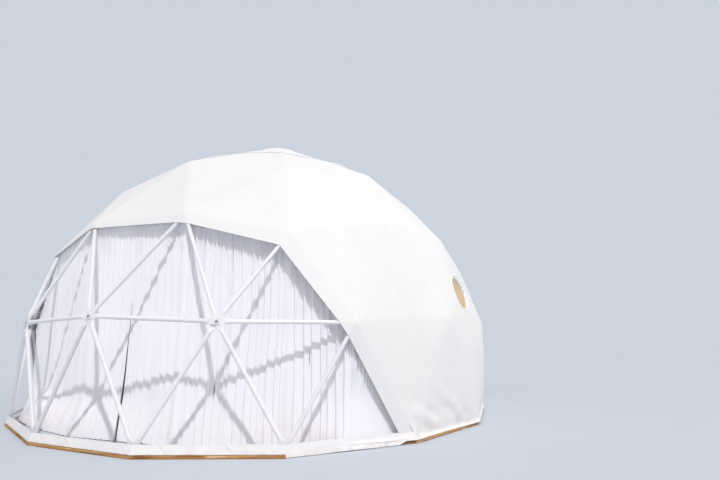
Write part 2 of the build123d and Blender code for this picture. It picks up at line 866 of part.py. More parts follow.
def collect():
    parts = {}

    def put(name, solids):
        parts.setdefault(name, []).extend(solids)

    for one, other in ring_pairs(base_hubs()):
        put("sill_boards", [sill_board(one, other)])
    for hub in base_hubs():
        put("base_brackets", [base_bracket(hub)])
    for strut in STRUTS:
        put(strut.name(), [strut.solid()])
    bolt_names = ("bolts_base", "bolts_waist", "bolts_shoulder", "bolts_crown", "bolts_crown", "bolts_crown")
    for hub in HUBS:
        put(bolt_names[hub.row], [bolt_head(hub)])
    for facet in SKIN_FACETS:
        made = skin_panel(facet)
        if facet in PORT_FACETS:
            made = made - port_cut(facet)
        if in_window(facet):
            name = "window_lower" if facet_rows(facet)[0] == 0 else "window_upper"
        else:
            name = cover_name(facet)
        put(name, [made])
    put("window_hem", window_hems())
    for one, other in ring_pairs(base_hubs()):
        if one in DOOR_SILL and other in DOOR_SILL:
            continue
        middle = (one.bearing + other.bearing) / 2.0
        front = abs(middle) < 60.0 and one.bearing < other.bearing
        put("skirt_front" if front else "skirt_rear", [skirt_panel(one, other)])
    for facet in PORT_FACETS:
        lift = SKIN_LIFT + SKIN_THICK + FIT
        put("porthole_rings", [disc(facet, lift, PORT_RING_THICK, PORT_RING_OUT, PORT_RING_IN)])
        pane_lift = SKIN_LIFT + (SKIN_THICK - PORT_PANE_THICK) / 2.0
        put("porthole_panes", [disc(facet, pane_lift, PORT_PANE_THICK, PORT_HOLE - FIT)])
    put("door_frame", door_frame())
    put("door_wall", door_wall())
    put("door_returns", door_returns())
    put("door_flap", [door_flap()])
    put("crown_cap", crown_cap())
    sides = ("far_left", "far_left", "left", "middle", "right", "far_right", "far_right")
    for side, (one, other) in zip(sides, RIM_PAIRS):
        put("curtain_rail", [rail_piece(one, other)] + rail_hangers(one, other))
        put("curtain_" + side, [curtain_panel(one, other)])
    return parts


def flat_solids(items):
    found = []
    for item in items:
        found.extend(item.solids())
    return found


os.makedirs("parts", exist_ok=True)
for part_name, items in collect().items():
    solids = flat_solids(items)
    shape = solids[0] if len(solids) == 1 else Compound(children=solids)
    export_step(shape, os.path.join("parts", part_name + ".step"))
    print(part_name, len(solids), round(sum(solid.volume for solid in solids) / 1e6, 3))
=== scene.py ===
import math
import random

import bmesh
import bpy
from mathutils import Matrix, Vector, noise


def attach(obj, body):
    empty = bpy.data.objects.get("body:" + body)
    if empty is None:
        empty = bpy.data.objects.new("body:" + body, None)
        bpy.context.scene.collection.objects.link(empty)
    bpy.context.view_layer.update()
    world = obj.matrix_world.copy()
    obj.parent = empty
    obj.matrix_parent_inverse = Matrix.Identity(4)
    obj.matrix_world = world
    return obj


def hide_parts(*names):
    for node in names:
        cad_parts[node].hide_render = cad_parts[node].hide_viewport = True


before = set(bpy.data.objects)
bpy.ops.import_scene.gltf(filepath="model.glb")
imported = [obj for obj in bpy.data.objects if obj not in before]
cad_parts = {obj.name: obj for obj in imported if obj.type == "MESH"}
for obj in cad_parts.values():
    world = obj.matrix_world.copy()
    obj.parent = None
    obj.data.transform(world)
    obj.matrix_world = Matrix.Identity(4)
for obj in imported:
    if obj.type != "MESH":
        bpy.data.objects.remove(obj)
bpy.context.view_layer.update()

# Geodesic dome tent with a clear bay window, in metres.
# Z is up, the ground is z = 0 and the middle of the bay window faces -Y.
# Bearings are turned from the window (-Y) toward +X.

# Frame, as in the solid model
FRAME_RADIUS = 3.66
HUB_HEIGHT = 0.084
CHORD_LIMIT = 0.45
BASE_RISE = -0.1716
TUBE_RADIUS = 0.024
TAB_WIDTH = 0.070
TAB_THICK = 0.004
TAB_FLAT = 0.068
TAB_END = 0.032
TAPER = 0.066
STACK_GAP = 0.0003
STACK_SINK = 0.006
BRACKET_THICK = 0.005

# Cover, window and sill
SKIN_LIFT = 0.0262
CLOTH_THICK = 0.0016
FILM_LIFT = 0.0248
HEM_WIDTHS = (0.085, 0.080, 0.075, 0.085, 0.130, 0.185, 0.160, 0.160)
SKIRT_TOP = 0.134
BOARD_HIGH = 0.038
BOARD_OUT = 0.055
BOARD_OUT_BEHIND = 0.020
BOARD_IN = 0.085
WINDOW_LIMITS = (61.0, 48.5, 36.5)

# Doorway, portholes and patches
DOOR_BEARING = 144.0
DOOR_HALF = 0.5
DOOR_HIGH = 2.08
POST_LINE = 0.545
FLAP_RADIUS = 0.055
PORT_BEARING = 84.6
PORT_RING_OUT = 0.300
PORT_RING_IN = 0.236
PORT_OPENING = 0.268
CAP_RIM = 3.945

# Camera and light
CAMERA_PLACE = (4.7486, -7.3652, 1.2492)
CAMERA_HEADING = 112.377
CAMERA_PITCH = 10.743
CAMERA_ROLL = 0.158
CAMERA_LENS = 23.97
SUN_BEARING = 38.0
SUN_HEIGHT = 51.2
SUN_SIZE = 1.6
SUN_POWER = 1.88
FILL_BEARING = 112.0
FILL_HEIGHT = 20.0
FILL_POWER = 0.57
FILL_SIZE = 70.0
SKY_POWER = 0.625
SUN_COLOUR = (1.0, 0.985, 0.96)
FILL_COLOUR = (1.0, 0.975, 0.965)
SKY_COLOUR = (0.96, 0.953, 0.985)
BACKDROP = (0.60, 0.66, 0.74)
FLOOR_REACH = 90.0
FLOOR_FADE = (7.0, 15.0)

UP = Vector((0, 0, 1))
rng = random.Random(41)


# Hubs, struts and facets of the three-frequency dome

def direction(bearing):
    turned = math.radians(bearing - 90.0)
    return Vector((math.cos(turned), math.sin(turned), 0))


def bearing_of(point):
    return math.degrees(math.atan2(point.x, -point.y))


def bearing_gap(one, other):
    return abs((one - other + 180.0) % 360.0 - 180.0)


def mix(one, other, share):
    return one * (1.0 - share) + other * share


def smooth_step(low, high, value):
    share = min(1.0, max(0.0, (value - low) / (high - low)))
    return share * share * (3.0 - 2.0 * share)


CENTRE = Vector((0, 0, HUB_HEIGHT - BASE_RISE * FRAME_RADIUS))


class Hub:
    def __init__(self, row, unit):
        self.row = row
        self.unit = unit
        self.bearing = bearing_of(unit)
        placed = unit
        if row == 0:
            placed = direction(self.bearing) * math.sqrt(1.0 - BASE_RISE ** 2) + UP * BASE_RISE
        self.normal = placed.normalized()
        self.point = CENTRE + placed * FRAME_RADIUS
        self.level = Vector((self.normal.x, self.normal.y, 0)).normalized()
        self.ends = []

    def stack_place(self, strut):
        pitch = TAB_THICK + STACK_GAP
        return (self.ends.index(strut) - (len(self.ends) - 1) / 2.0) * pitch - STACK_SINK

    def stack_half(self):
        pitch = TAB_THICK + STACK_GAP
        return (len(self.ends) - 1) / 2.0 * pitch + TAB_THICK / 2.0


def make_hubs():
    """Hubs in rows, from the ground ring (0) to the apex (5)."""
    rise = 1.0 / math.sqrt(5.0)
    found = [(5, UP)]
    for k in range(5):
        left = direction(36.0 + 72.0 * k) * 2.0 * rise + UP * rise
        right = direction(108.0 + 72.0 * k) * 2.0 * rise + UP * rise
        below = direction(72.0 * k) * 2.0 * rise - UP * rise
        between = direction(72.0 + 72.0 * k) * 2.0 * rise - UP * rise
        found.append((4, UP * 2 + left))
        found += [(3, UP + left * 2), (3, UP + left + right)]
        found += [(2, left), (2, left * 2 + right), (2, left + right * 2)]
        found += [(1, left * 2 + between), (1, left * 2 + below), (1, left + right + between)]
        found += [(0, left + between * 2), (0, left + below * 2), (0, left + below + between)]
    return [Hub(row, spot.normalized()) for row, spot in found]


ALL_HUBS = make_hubs()


def nearest(row, bearing):
    same = [hub for hub in ALL_HUBS if hub.row == row]
    return min(same, key=lambda hub: bearing_gap(hub.bearing, bearing))


def joined(one, other):
    return one is not other and (one.unit - other.unit).length < CHORD_LIMIT


def neighbours(hub, row):
    found = [other for other in ALL_HUBS if other.row == row and joined(hub, other)]
    return sorted(found, key=lambda other: other.bearing)


DOOR_HUB = nearest(1, DOOR_BEARING)
DOOR_SILL = neighbours(DOOR_HUB, 0)
DOOR_HEAD = neighbours(DOOR_HUB, 2)
DOOR_SIDE = neighbours(DOOR_HUB, 1)
HUBS = [hub for hub in ALL_HUBS if hub is not DOOR_HUB]
BASE_HUBS = sorted([hub for hub in HUBS if hub.row == 0], key=lambda hub: hub.bearing)
BASE_SPANS = list(zip(BASE_HUBS, BASE_HUBS[1:] + BASE_HUBS[:1]))


def make_facets():
    found = []
    for i, one in enumerate(ALL_HUBS):
        for j, other in enumerate(ALL_HUBS[i + 1:], i + 1):
            if joined(one, other):
                for third in ALL_HUBS[j + 1:]:
                    if joined(one, third) and joined(other, third):
                        found.append(ordered((one, other, third)))
    return found


def facet_normal(facet):
    one, other, third = facet
    normal = (other.point - one.point).cross(third.point - one.point).normalized()
    return normal if normal.dot(one.point - CENTRE) > 0 else -normal


def ordered(facet):
    one, other, third = facet
    turned = (other.point - one.point).cross(third.point - one.point)
    return facet if turned.dot(facet_normal(facet)) > 0 else (one, third, other)


def facet_middle(facet):
    return (facet[0].point + facet[1].point + facet[2].point) / 3.0


def in_window(facet):
    return all(hub.row <= 2 and abs(hub.bearing) <= WINDOW_LIMITS[hub.row] for hub in facet)


FACETS = make_facets()
RIM = ((0, -60.2), (1, -47.8), (2, -36.0), (2, -13.6), (2, 13.6), (2, 36.0), (1, 47.8), (0, 60.2))
RIM_HUBS = [nearest(row, bearing) for row, bearing in RIM]
SKIN_FACETS = [facet for facet in FACETS if DOOR_HUB not in facet]
WINDOW_FACETS = [facet for facet in SKIN_FACETS if in_window(facet)]
COVER_FACETS = [facet for facet in SKIN_FACETS if not in_window(facet)]


def is_draped(one, other):
    """The span at the right end of the window, where the skirt hangs to the floor."""
    return one is nearest(0, 36.0) and other is nearest(0, 60.2)


def skin_corner(hub, lift=SKIN_LIFT):
    """Where the stretched cover passes over a hub."""
    around = [facet_normal(facet).dot(hub.normal) for facet in FACETS if hub in facet]
    return hub.point + hub.normal * (lift / (sum(around) / len(around)))


# Mesh helpers

def edit_mesh(mesh, change):
    """Runs a change on the editable form of a mesh."""
    shape = bmesh.new()
    shape.from_mesh(mesh)
    change(shape)
    shape.to_mesh(mesh)
    shape.free()


def face_outward(shape):
    bmesh.ops.recalc_face_normals(shape, faces=shape.faces)


def crisp_borders(shape):
    for edge in shape.edges:
        if edge.is_boundary:
            edge.smooth = False


class Shape:
    """Points and faces of one piece, with optional values at each point."""

    def __init__(self):
        self.points = []
        self.faces = []
        self.fields = {}

    def add(self, points, **fields):
        start = len(self.points)
        self.points.extend(points)
        for name, values in fields.items():
            held = self.fields.setdefault(name, [])
            held.extend([0.0] * (start - len(held)))
            held.extend(values)
        return start

    def loft(self, rings, closed=True, caps=True, **fields):
        """Skins rings of points; a field is one value, or a list with a value for each point."""
        count = len(rings[0])
        flat = [spot for ring in rings for spot in ring]
        spread = {name: value if isinstance(value, list) else [value] * len(flat)
                  for name, value in fields.items()}
        start = self.add(flat, **spread)
        for i in range(len(rings) - 1):
            for k in range(count if closed else count - 1):
                j = (k + 1) % count
                low = start + i * count
                self.faces.append((low + k, low + j, low + count + j, low + count + k))
        if caps and closed:
            self.faces.append(tuple(start + k for k in reversed(range(count))))
            last = start + (len(rings) - 1) * count
            self.faces.append(tuple(last + k for k in range(count)))
        return start

    def piece(self, name, material, slot, stands_for=(), crease=40.0, tidy=False):
        mesh = bpy.data.meshes.new(name)
        mesh.from_pydata(self.points, [], self.faces)
        for field, values in self.fields.items():
            values = values + [0.0] * (len(self.points) - len(values))
            held = mesh.attributes.new(field, "FLOAT", "POINT")
            held.data.foreach_set("value", values)
        if tidy:
            edit_mesh(mesh, face_outward)
        mesh.shade_smooth()
        mesh.set_sharp_from_angle(angle=math.radians(crease))
        mesh.materials.append(material)
        made = bpy.data.objects.new(name, mesh)
        bpy.context.scene.collection.objects.link(made)
        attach(made, "root")
        if stands_for:
            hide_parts(*stands_for)
        return made


def thicken(piece, thickness=CLOTH_THICK, offset=0.0):
    """Cloth thickness; the free edges stay crisp so that they don't darken the face beside them."""
    edit_mesh(piece.data, crisp_borders)
    solid = piece.modifiers.new("thickness", "SOLIDIFY")
    solid.thickness = thickness
    solid.offset = offset


def merge_close(piece, distance=0.0004):
    edit_mesh(piece.data, lambda shape: bmesh.ops.remove_doubles(shape, verts=shape.verts, dist=distance))
    piece.data.update()


def ring_of(centre, side, other, radius, count, start=0.0):
    spots = []
    for k in range(count):
        turned = start + 2.0 * math.pi * k / count
        spots.append(centre + side * (radius * math.cos(turned)) + other * (radius * math.sin(turned)))
    return spots


def oblong(half, other_half):
    """Four corners around the origin."""
    return [half * a + other_half * b for a, b in ((-1, -1), (1, -1), (1, 1), (-1, 1))]


def axes_for(normal):
    side = normal.orthogonal().normalized()
    return side, normal.cross(side)


def turned_profile(shape, centre, normal, profile, count, start=0.0, **fields):
    """Lathe: profile is (radius, height along normal) from outside to inside."""
    side, other = axes_for(normal)
    rings = []
    for radius, height in profile:
        rings.append(ring_of(centre + normal * height, side, other, radius, count, start))
    shape.loft(rings, **fields)


def tube(shape, start, stop, radius, count=16, **fields):
    along = (stop - start).normalized()
    side, other = axes_for(along)
    rings = [ring_of(start, side, other, radius, count), ring_of(stop, side, other, radius, count)]
    shape.loft(rings, **fields)


def ripple(point, scale, seed=0.0):
    """Smooth noise from -1 to 1."""
    spot = (point.x * scale + seed, point.y * scale - seed, point.z * scale + 0.5 * seed)
    return noise.noise(Vector(spot))


def ripple_at(x, y, z, seed):
    """The same noise where the spot isn't a place on the object."""
    return ripple(Vector((x, y, z)), 1.0, seed)


def hill(away, wide):
    """A smooth hump: 1 in its middle and nearly nothing two widths away."""
    return math.exp(-(away / wide) ** 2)


# Materials

COVER_LIGHT = (0.815, 0.802, 0.798)
COVER_SHADE = (0.790, 0.775, 0.771)
COVER_THREAD = 0.0025
CURTAIN_THREAD = 0.0016
WEBBING_THREAD = 0.0018
WEBBING_RIB = 0.004
THREAD_HIGH = 0.0003


class Paint:
    """Builds one material from nodes: a ground colour, tints over it, roughness and bumps."""

    def __init__(self, name, roughness=0.5, metallic=0.0, specular=0.5, sheen=0.0, coat=0.0):
        self.material = bpy.data.materials.new(name)
        self.material.use_nodes = True
        self.nodes = self.material.node_tree.nodes
        self.links = self.material.node_tree.links
        self.shader = self.nodes["Principled BSDF"]
        finish = {"Roughness": roughness, "Metallic": metallic, "Specular IOR Level": specular,
                  "Sheen Weight": sheen, "Coat Weight": coat}
        for socket, value in finish.items():
            self.shader.inputs[socket].default_value = value
        self.place = self.node("ShaderNodeTexCoord").outputs["Object"]
        self.base = None

    def node(self, kind, inputs=(), **settings):
        made = self.nodes.new(kind)
        for name, value in settings.items():
            setattr(made, name, value)
        for name, value in dict(inputs).items():
            self.set(made.inputs[name], value)
        return made

    def set(self, socket, value):
        """Links a socket to another one, or gives it a number or a colour."""
        if isinstance(value, bpy.types.NodeSocket):
            self.links.new(value, socket)
        elif isinstance(value, tuple) and socket.type == "RGBA":
            socket.default_value = (*value[:3], 1.0)
        else:
            socket.default_value = value

    def field(self, name):
        return self.node("ShaderNodeAttribute", attribute_name=name).outputs["Fac"]

    def height(self):
        return self.node("ShaderNodeSeparateXYZ", {"Vector": self.place}).outputs["Z"]

    def stretched(self, scale, source=None):
        inputs = {"Vector": source or self.place, "Scale": scale}
        return self.node("ShaderNodeMapping", inputs).outputs["Vector"]

    def noise(self, scale, detail=3.0, rough=0.55, source=None):
        inputs = {"Vector": source or self.place, "Scale": scale, "Detail": detail, "Roughness": rough}
        return self.node("ShaderNodeTexNoise", inputs).outputs["Fac"]

    def ramp(self, value, low, high, start=0.0, stop=1.0):
        inputs = {"Value": value, "From Min": low, "From Max": high, "To Min": start, "To Max": stop}
        return self.node("ShaderNodeMapRange", inputs, interpolation_type="SMOOTHSTEP").outputs["Result"]

    def patches(self, low, high, scale, detail=3.0, rough=0.55):
        """Cloudy patches, from 0 to 1."""
        return self.ramp(self.noise(scale, detail, rough), low, high)

    def math(self, operation, one, other=0.0):
        return self.node("ShaderNodeMath", {0: one, 1: other}, operation=operation).outputs[0]

    def sine(self, value, turns):
        return self.math("SINE", self.math("MULTIPLY", value, turns))

    def band(self, value, rise, fall):
        """1 between a rise and a fall, each a (low, high) pair."""
        return self.math("MULTIPLY", self.ramp(value, *rise), self.ramp(value, *fall, 1.0, 0.0))

    def splash(self, low, high, patches):
        """Dirt thrown up from the ground, in patches that thin out with height."""
        return self.math("MULTIPLY", self.ramp(self.height(), low, high, 1.0, 0.0), patches)

    def blend(self, share, one, other):
        made = self.node("ShaderNodeMix", data_type="RGBA")
        for socket, value in ((made.inputs[0], share), (made.inputs[6], one), (made.inputs[7], other)):
            self.set(socket, value)
        return made.outputs[2]

    def ground(self, share, one, other):
        self.base = self.blend(share, one, other)

    def tint(self, share, amount, colour):
        """Lays a colour over the base; amount is how much of it shows where share is 1."""
        self.base = self.blend(self.math("MULTIPLY", share, amount), self.base, colour)

    def finish(self, rough, *layers):
        """Links colour, roughness and bumps; each layer is (height value, strength, distance)."""
        normal = None
        for value, strength, distance in layers:
            inputs = {"Height": value, "Strength": strength, "Distance": distance}
            if normal:
                inputs["Normal"] = normal
            normal = self.node("ShaderNodeBump", inputs).outputs["Normal"]
        for socket, value in (("Base Color", self.base), ("Roughness", rough), ("Normal", normal)):
            self.links.new(value, self.shader.inputs[socket])
        return self.material


def weave(paint, pitch):
    """Crossed threads of a plain weave, as heights."""
    split = paint.node("ShaderNodeSeparateXYZ", {"Vector": paint.place})
    level = paint.math("ADD", split.outputs["X"], split.outputs["Y"])
    turns = 2.0 * math.pi / pitch
    return paint.math("MULTIPLY", paint.sine(level, turns), paint.sine(split.outputs["Z"], turns))


def cover_paint():
    """Coated fabric with welds along its seams, faint streaks, and splashes near the ground."""
    paint = Paint("coated_fabric", roughness=0.62, specular=0.28, sheen=0.05)
    fine = paint.noise(14.0, 5.0, 0.65)
    streak = paint.noise(1.0, 4.0, 0.6, paint.stretched((5.0, 5.0, 0.7)))
    seam = paint.field("seam")
    weld = paint.ramp(seam, 0.018, 0.022, 1.0, 0.0)
    paint.ground(paint.patches(0.35, 0.65, 0.9, 4.0), COVER_LIGHT, COVER_SHADE)
    paint.tint(paint.ramp(fine, 0.45, 0.8), 0.35, (0.745, 0.725, 0.716))
    paint.tint(weld, 0.2, (0.765, 0.745, 0.740))
    paint.tint(paint.band(seam, (0.017, 0.0195), (0.0205, 0.024)), 0.22, (0.64, 0.62, 0.62))
    paint.tint(paint.splash(0.03, 0.42, paint.patches(0.38, 0.72, 5.0, 6.0, 0.7)), 0.42, (0.66, 0.57, 0.50))
    paint.tint(paint.ramp(streak, 0.56, 0.78), 0.16, (0.74, 0.715, 0.70))
    threads = (weave(paint, COVER_THREAD), 0.10, THREAD_HIGH)
    crumple = (paint.noise(34.0, 3.0), 0.16, 0.0015)
    return paint.finish(paint.ramp(fine, 0.3, 0.8, 0.56, 0.70), threads, crumple, (weld, 0.5, 0.0008))


def hem_paint():
    """The cover's fabric where it is doubled, with a heat mark and a cut edge."""
    paint = Paint("welded_hem", roughness=0.60, specular=0.28)
    across = paint.field("across")
    heat = paint.band(across, (0.70, 0.72), (0.76, 0.78))
    paint.ground(paint.patches(0.35, 0.65, 0.9, 4.0), COVER_LIGHT, COVER_SHADE)
    paint.tint(paint.ramp(across, 0.94, 0.99), 0.25, (0.66, 0.65, 0.66))
    paint.tint(heat, 0.08, (0.70, 0.685, 0.69))
    rough = paint.ramp(paint.noise(22.0), 0.3, 0.8, 0.54, 0.68)
    threads = (weave(paint, COVER_THREAD), 0.12, THREAD_HIGH)
    return paint.finish(rough, threads, (heat, 0.3, 0.0006), (paint.noise(18.0, 3.0), 0.2, 0.0015))


def skirt_paint():
    """Whiter and glossier cloth, with a weld at its top and splashes at its foot."""
    paint = Paint("skirt_fabric", roughness=0.48, specular=0.35)
    weld = paint.ramp(paint.height(), 0.136, 0.139)
    paint.ground(paint.patches(0.35, 0.7, 4.0, 4.0), (0.865, 0.845, 0.845), (0.825, 0.80, 0.80))
    paint.tint(paint.splash(0.02, 0.11, paint.patches(0.36, 0.68, 13.0, 6.0, 0.7)), 0.45, (0.62, 0.52, 0.44))
    paint.tint(weld, 0.22, (0.78, 0.76, 0.78))
    rough = paint.ramp(paint.noise(20.0), 0.3, 0.8, 0.42, 0.6)
    threads = (weave(paint, COVER_THREAD), 0.12, THREAD_HIGH)
    return paint.finish(rough, threads, (paint.noise(26.0, 4.0), 0.35, 0.002), (weld, 0.4, 0.001))


def film_paint():
    """Clear vinyl: thin and hazy, and more opaque where it is seen edge on, so that its pale colour shows
    there as a painted reflection along with its gloss.
    """
    paint = Paint("clear_vinyl", roughness=0.07, specular=0.6)
    haze = paint.noise(1.6, 4.0, 0.6)
    paint.ground(paint.ramp(haze, 0.3, 0.7), (0.80, 0.80, 0.84), (0.90, 0.90, 0.93))
    facing = paint.node("ShaderNodeLayerWeight", {"Blend": 0.5}).outputs["Facing"]
    # Opacity that grows where the film is seen edge on; the pale colour it lets show there is a painted
    # reflection.
    edge_on_reflection = paint.math("MULTIPLY", paint.math("POWER", facing, 3.5), 0.5)
    streak = paint.noise(1.0, 5.0, 0.65, paint.stretched((9.0, 9.0, 1.3)))
    smear = paint.math("ADD", paint.ramp(streak, 0.5, 0.8, 0.0, 0.05), 0.035)
    paint.links.new(paint.math("ADD", edge_on_reflection, smear), paint.shader.inputs["Alpha"])
    rough = paint.ramp(haze, 0.3, 0.7, 0.05, 0.13)
    return paint.finish(rough, (paint.noise(3.2, 2.0), 0.22, 0.01), (paint.noise(30.0, 2.0), 0.06, 0.002))


def curtain_paint():
    """Light woven cloth with slubs along its threads."""
    paint = Paint("curtain_cloth", roughness=0.78, specular=0.25, sheen=0.25)
    paint.shader.inputs["Sheen Roughness"].default_value = 0.45
    slub = paint.noise(1.0, 4.0, 0.6, paint.stretched((70.0, 70.0, 3.0)))
    paint.ground(paint.patches(0.3, 0.7, 1.7, 4.0), (0.945, 0.928, 0.962), (0.922, 0.903, 0.942))
    paint.tint(paint.ramp(slub, 0.5, 0.8), 0.3, (0.895, 0.874, 0.920))
    threads = (weave(paint, CURTAIN_THREAD), 0.16, THREAD_HIGH)
    crumple = (paint.noise(11.0, 3.0), 0.25, 0.004)
    return paint.finish(paint.ramp(slub, 0.3, 0.8, 0.70, 0.88), threads, (slub, 0.14, 0.001), crumple)


def steel_paint():
    """White paint over steel tube, with handling marks and faint runs."""
    paint = Paint("painted_steel", roughness=0.34, specular=0.5, coat=0.12)
    scuff = paint.patches(0.60, 0.70, 38.0, 6.0, 0.72)
    worn = paint.math("MULTIPLY", paint.field("press"), paint.patches(0.5, 0.66, 60.0, 5.0, 0.7))
    paint.ground(paint.ramp(paint.field("tone"), 0.0, 1.0), (0.88, 0.872, 0.89), (0.83, 0.82, 0.84))
    paint.tint(scuff, 0.35, (0.56, 0.55, 0.56))
    paint.tint(worn, 0.55, (0.42, 0.41, 0.42))
    paint.tint(paint.patches(0.5, 0.75, 7.0, 4.0), 0.22, (0.66, 0.64, 0.63))
    rough = paint.ramp(paint.noise(30.0, 4.0), 0.3, 0.75, 0.26, 0.50)
    return paint.finish(rough, (paint.noise(120.0, 3.0), 0.10, 0.0006), (scuff, -0.25, 0.0004))


def zinc_paint(name, dark=0.0):
    """Zinc plate with a fine spangle, dulled in patches."""
    paint = Paint(name, roughness=0.38, metallic=0.9)
    cells = paint.node("ShaderNodeTexVoronoi", {"Vector": paint.place, "Scale": 160.0}).outputs["Distance"]
    spots = paint.patches(0.58, 0.72, 44.0, 6.0, 0.7)
    bright = (0.62 - dark, 0.63 - dark, 0.66 - dark)
    dull = (0.40 - dark, 0.40 - dark, 0.42 - dark)
    paint.ground(paint.ramp(cells, 0.1, 0.6), bright, dull)
    paint.tint(spots, 0.55, (0.30, 0.21, 0.15))
    rough = paint.ramp(paint.noise(60.0, 4.0), 0.3, 0.75, 0.28, 0.6)
    return paint.finish(rough, (cells, 0.12, 0.0004), (spots, 0.3, 0.0005))


def wood_paint():
    """Weathered pine: long grain, knots, grey wear and pale splits."""
    paint = Paint("sill_timber", roughness=0.75, specular=0.3)
    around = paint.field("around")
    tone = paint.field("tone")
    lot = paint.math("MULTIPLY", tone, 37.0)
    inputs = {"X": paint.field("along"), "Y": around, "Z": lot}
    spot = paint.node("ShaderNodeCombineXYZ", inputs).outputs[0]
    warp = paint.noise(1.0, 3.0, 0.5, paint.stretched((2.2, 9.0, 1.0), spot))
    grain = paint.math("ADD", paint.math("MULTIPLY", around, 95.0), paint.math("MULTIPLY", warp, 9.0))
    rings = paint.math("SINE", grain)
    fibre = paint.noise(1.0, 6.0, 0.7, paint.stretched((7.0, 260.0, 1.0), spot))
    inputs = {"Vector": paint.stretched((1.3, 7.0, 1.0), spot), "Scale": 1.4}
    knots = paint.node("ShaderNodeTexVoronoi", inputs).outputs["Distance"]
    knot = paint.ramp(knots, 0.05, 0.13, 1.0, 0.0)
    wear = paint.ramp(paint.noise(1.0, 6.0, 0.7, paint.stretched((3.0, 24.0, 1.0), spot)), 0.50, 0.70)
    paint.ground(paint.ramp(rings, -0.7, 0.9), (0.46, 0.215, 0.060), (0.66, 0.370, 0.125))
    paint.tint(paint.ramp(fibre, 0.35, 0.75), 0.7, (0.30, 0.13, 0.04))
    paint.tint(paint.ramp(tone, 0.0, 1.0), 0.35, (0.58, 0.40, 0.24))
    paint.tint(knot, 0.85, (0.14, 0.06, 0.022))
    paint.tint(wear, 0.42, (0.50, 0.41, 0.33))
    paint.tint(paint.ramp(paint.field("chip"), 0.2, 0.8), 0.75, (0.78, 0.56, 0.32))
    paint.tint(paint.ramp(paint.field("split"), 0.15, 0.75), 0.85, (0.13, 0.055, 0.02))
    # Darker along the foot of the board where it meets the floor: painted shade.
    paint.tint(paint.ramp(paint.height(), 0.002, 0.012, 1.0, 0.0), 0.6, (0.16, 0.10, 0.06))
    rough = paint.ramp(fibre, 0.3, 0.8, 0.66, 0.9)
    return paint.finish(rough, (rings, 0.2, 0.0012), (fibre, 0.6, 0.0016), (wear, -0.35, 0.0015),
                        (knot, 0.4, 0.001))


def plastic_paint():
    """Moulded white plastic with small scuffs."""
    paint = Paint("port_plastic", roughness=0.3, specular=0.5, coat=0.2)
    scuff = paint.patches(0.60, 0.72, 48.0, 6.0, 0.7)
    paint.ground(paint.patches(0.3, 0.7, 5.0, 4.0), (0.89, 0.875, 0.87), (0.84, 0.82, 0.81))
    paint.tint(scuff, 0.3, (0.62, 0.60, 0.59))
    rough = paint.ramp(paint.noise(25.0, 4.0), 0.3, 0.8, 0.24, 0.42)
    return paint.finish(rough, (paint.noise(140.0, 3.0), 0.12, 0.0005), (scuff, -0.2, 0.0004))


def pane_paint():
    """Tan plastic sheet; its colour is partly a painted reflection of the hillside, and it is darker at the
    top with painted shade under the ring's rim.
    """
    paint = Paint("port_pane_reflection_and_shade", roughness=0.30, specular=0.35, coat=0.08)
    smear = paint.noise(1.0, 5.0, 0.65, paint.stretched((16.0, 16.0, 3.0)))
    paint.ground(paint.patches(0.3, 0.7, 4.0, 5.0, 0.6), (0.60, 0.415, 0.20), (0.66, 0.47, 0.25))
    # Darker towards the top: painted shade under the ring's upper rim.
    paint.tint(paint.ramp(paint.height(), 1.80, 2.00), 0.55, (0.40, 0.29, 0.20))
    paint.tint(paint.ramp(smear, 0.45, 0.75), 0.35, (0.76, 0.58, 0.36))
    rough = paint.ramp(smear, 0.3, 0.8, 0.24, 0.40)
    return paint.finish(rough, (paint.noise(7.0, 2.0), 0.2, 0.004), (paint.noise(90.0, 3.0), 0.06, 0.0005))


def webbing_paint():
    """Ribbed grey webbing, soiled in patches, with painted shade between its ribs."""
    paint = Paint("strap_webbing", roughness=0.85, specular=0.2, sheen=0.15)
    rib_height_and_shade = paint.sine(paint.height(), 2.0 * math.pi / WEBBING_RIB)
    # Darker in the hollows between the ribs and lighter on their tops: painted shade.
    paint.ground(paint.ramp(rib_height_and_shade, -1.0, 1.0), (0.60, 0.59, 0.60), (0.72, 0.71, 0.72))
    paint.tint(paint.patches(0.45, 0.75, 30.0, 5.0), 0.4, (0.50, 0.47, 0.45))
    rough = paint.ramp(paint.noise(40.0), 0.3, 0.8, 0.78, 0.92)
    return paint.finish(rough, (rib_height_and_shade, 0.5, 0.0008), (weave(paint, WEBBING_THREAD), 0.3, 0.0004))


PAINTS = {
    "cover": cover_paint(),
    "hem": hem_paint(),
    "skirt": skirt_paint(),
    "film": film_paint(),
    "curtain": curtain_paint(),
    "steel": steel_paint(),
    "zinc": zinc_paint("zinc_plate"),
    # A darker copy of the zinc; on the eyelets it is painted shade in their holes.
    "bracket": zinc_paint("zinc_bracket", 0.06),
    "wood": wood_paint(),
    "plastic": plastic_paint(),
    "pane": pane_paint(),
    "webbing": webbing_paint(),
}


# Camera, light and floor

def make_camera():
    heading = math.radians(CAMERA_HEADING)
    pitch = math.radians(CAMERA_PITCH)
    roll = math.radians(CAMERA_ROLL)
    level = Vector((math.cos(heading), math.sin(heading), 0))
    ahead = level * math.cos(pitch) + UP * math.sin(pitch)
    right = level.cross(UP)
    above = right.cross(ahead)
    side = right * math.cos(roll) + above * math.sin(roll)
    top = above * math.cos(roll) - right * math.sin(roll)
    camera = bpy.data.cameras.new("camera")
    camera.lens = CAMERA_LENS
    camera.sensor_width = 36.0
    holder = bpy.data.objects.new("camera", camera)
    bpy.context.scene.collection.objects.link(holder)
    turn = Matrix((side, top, -ahead)).transposed().to_4x4()
    holder.matrix_world = Matrix.Translation(CAMERA_PLACE) @ turn
    bpy.context.scene.camera = holder


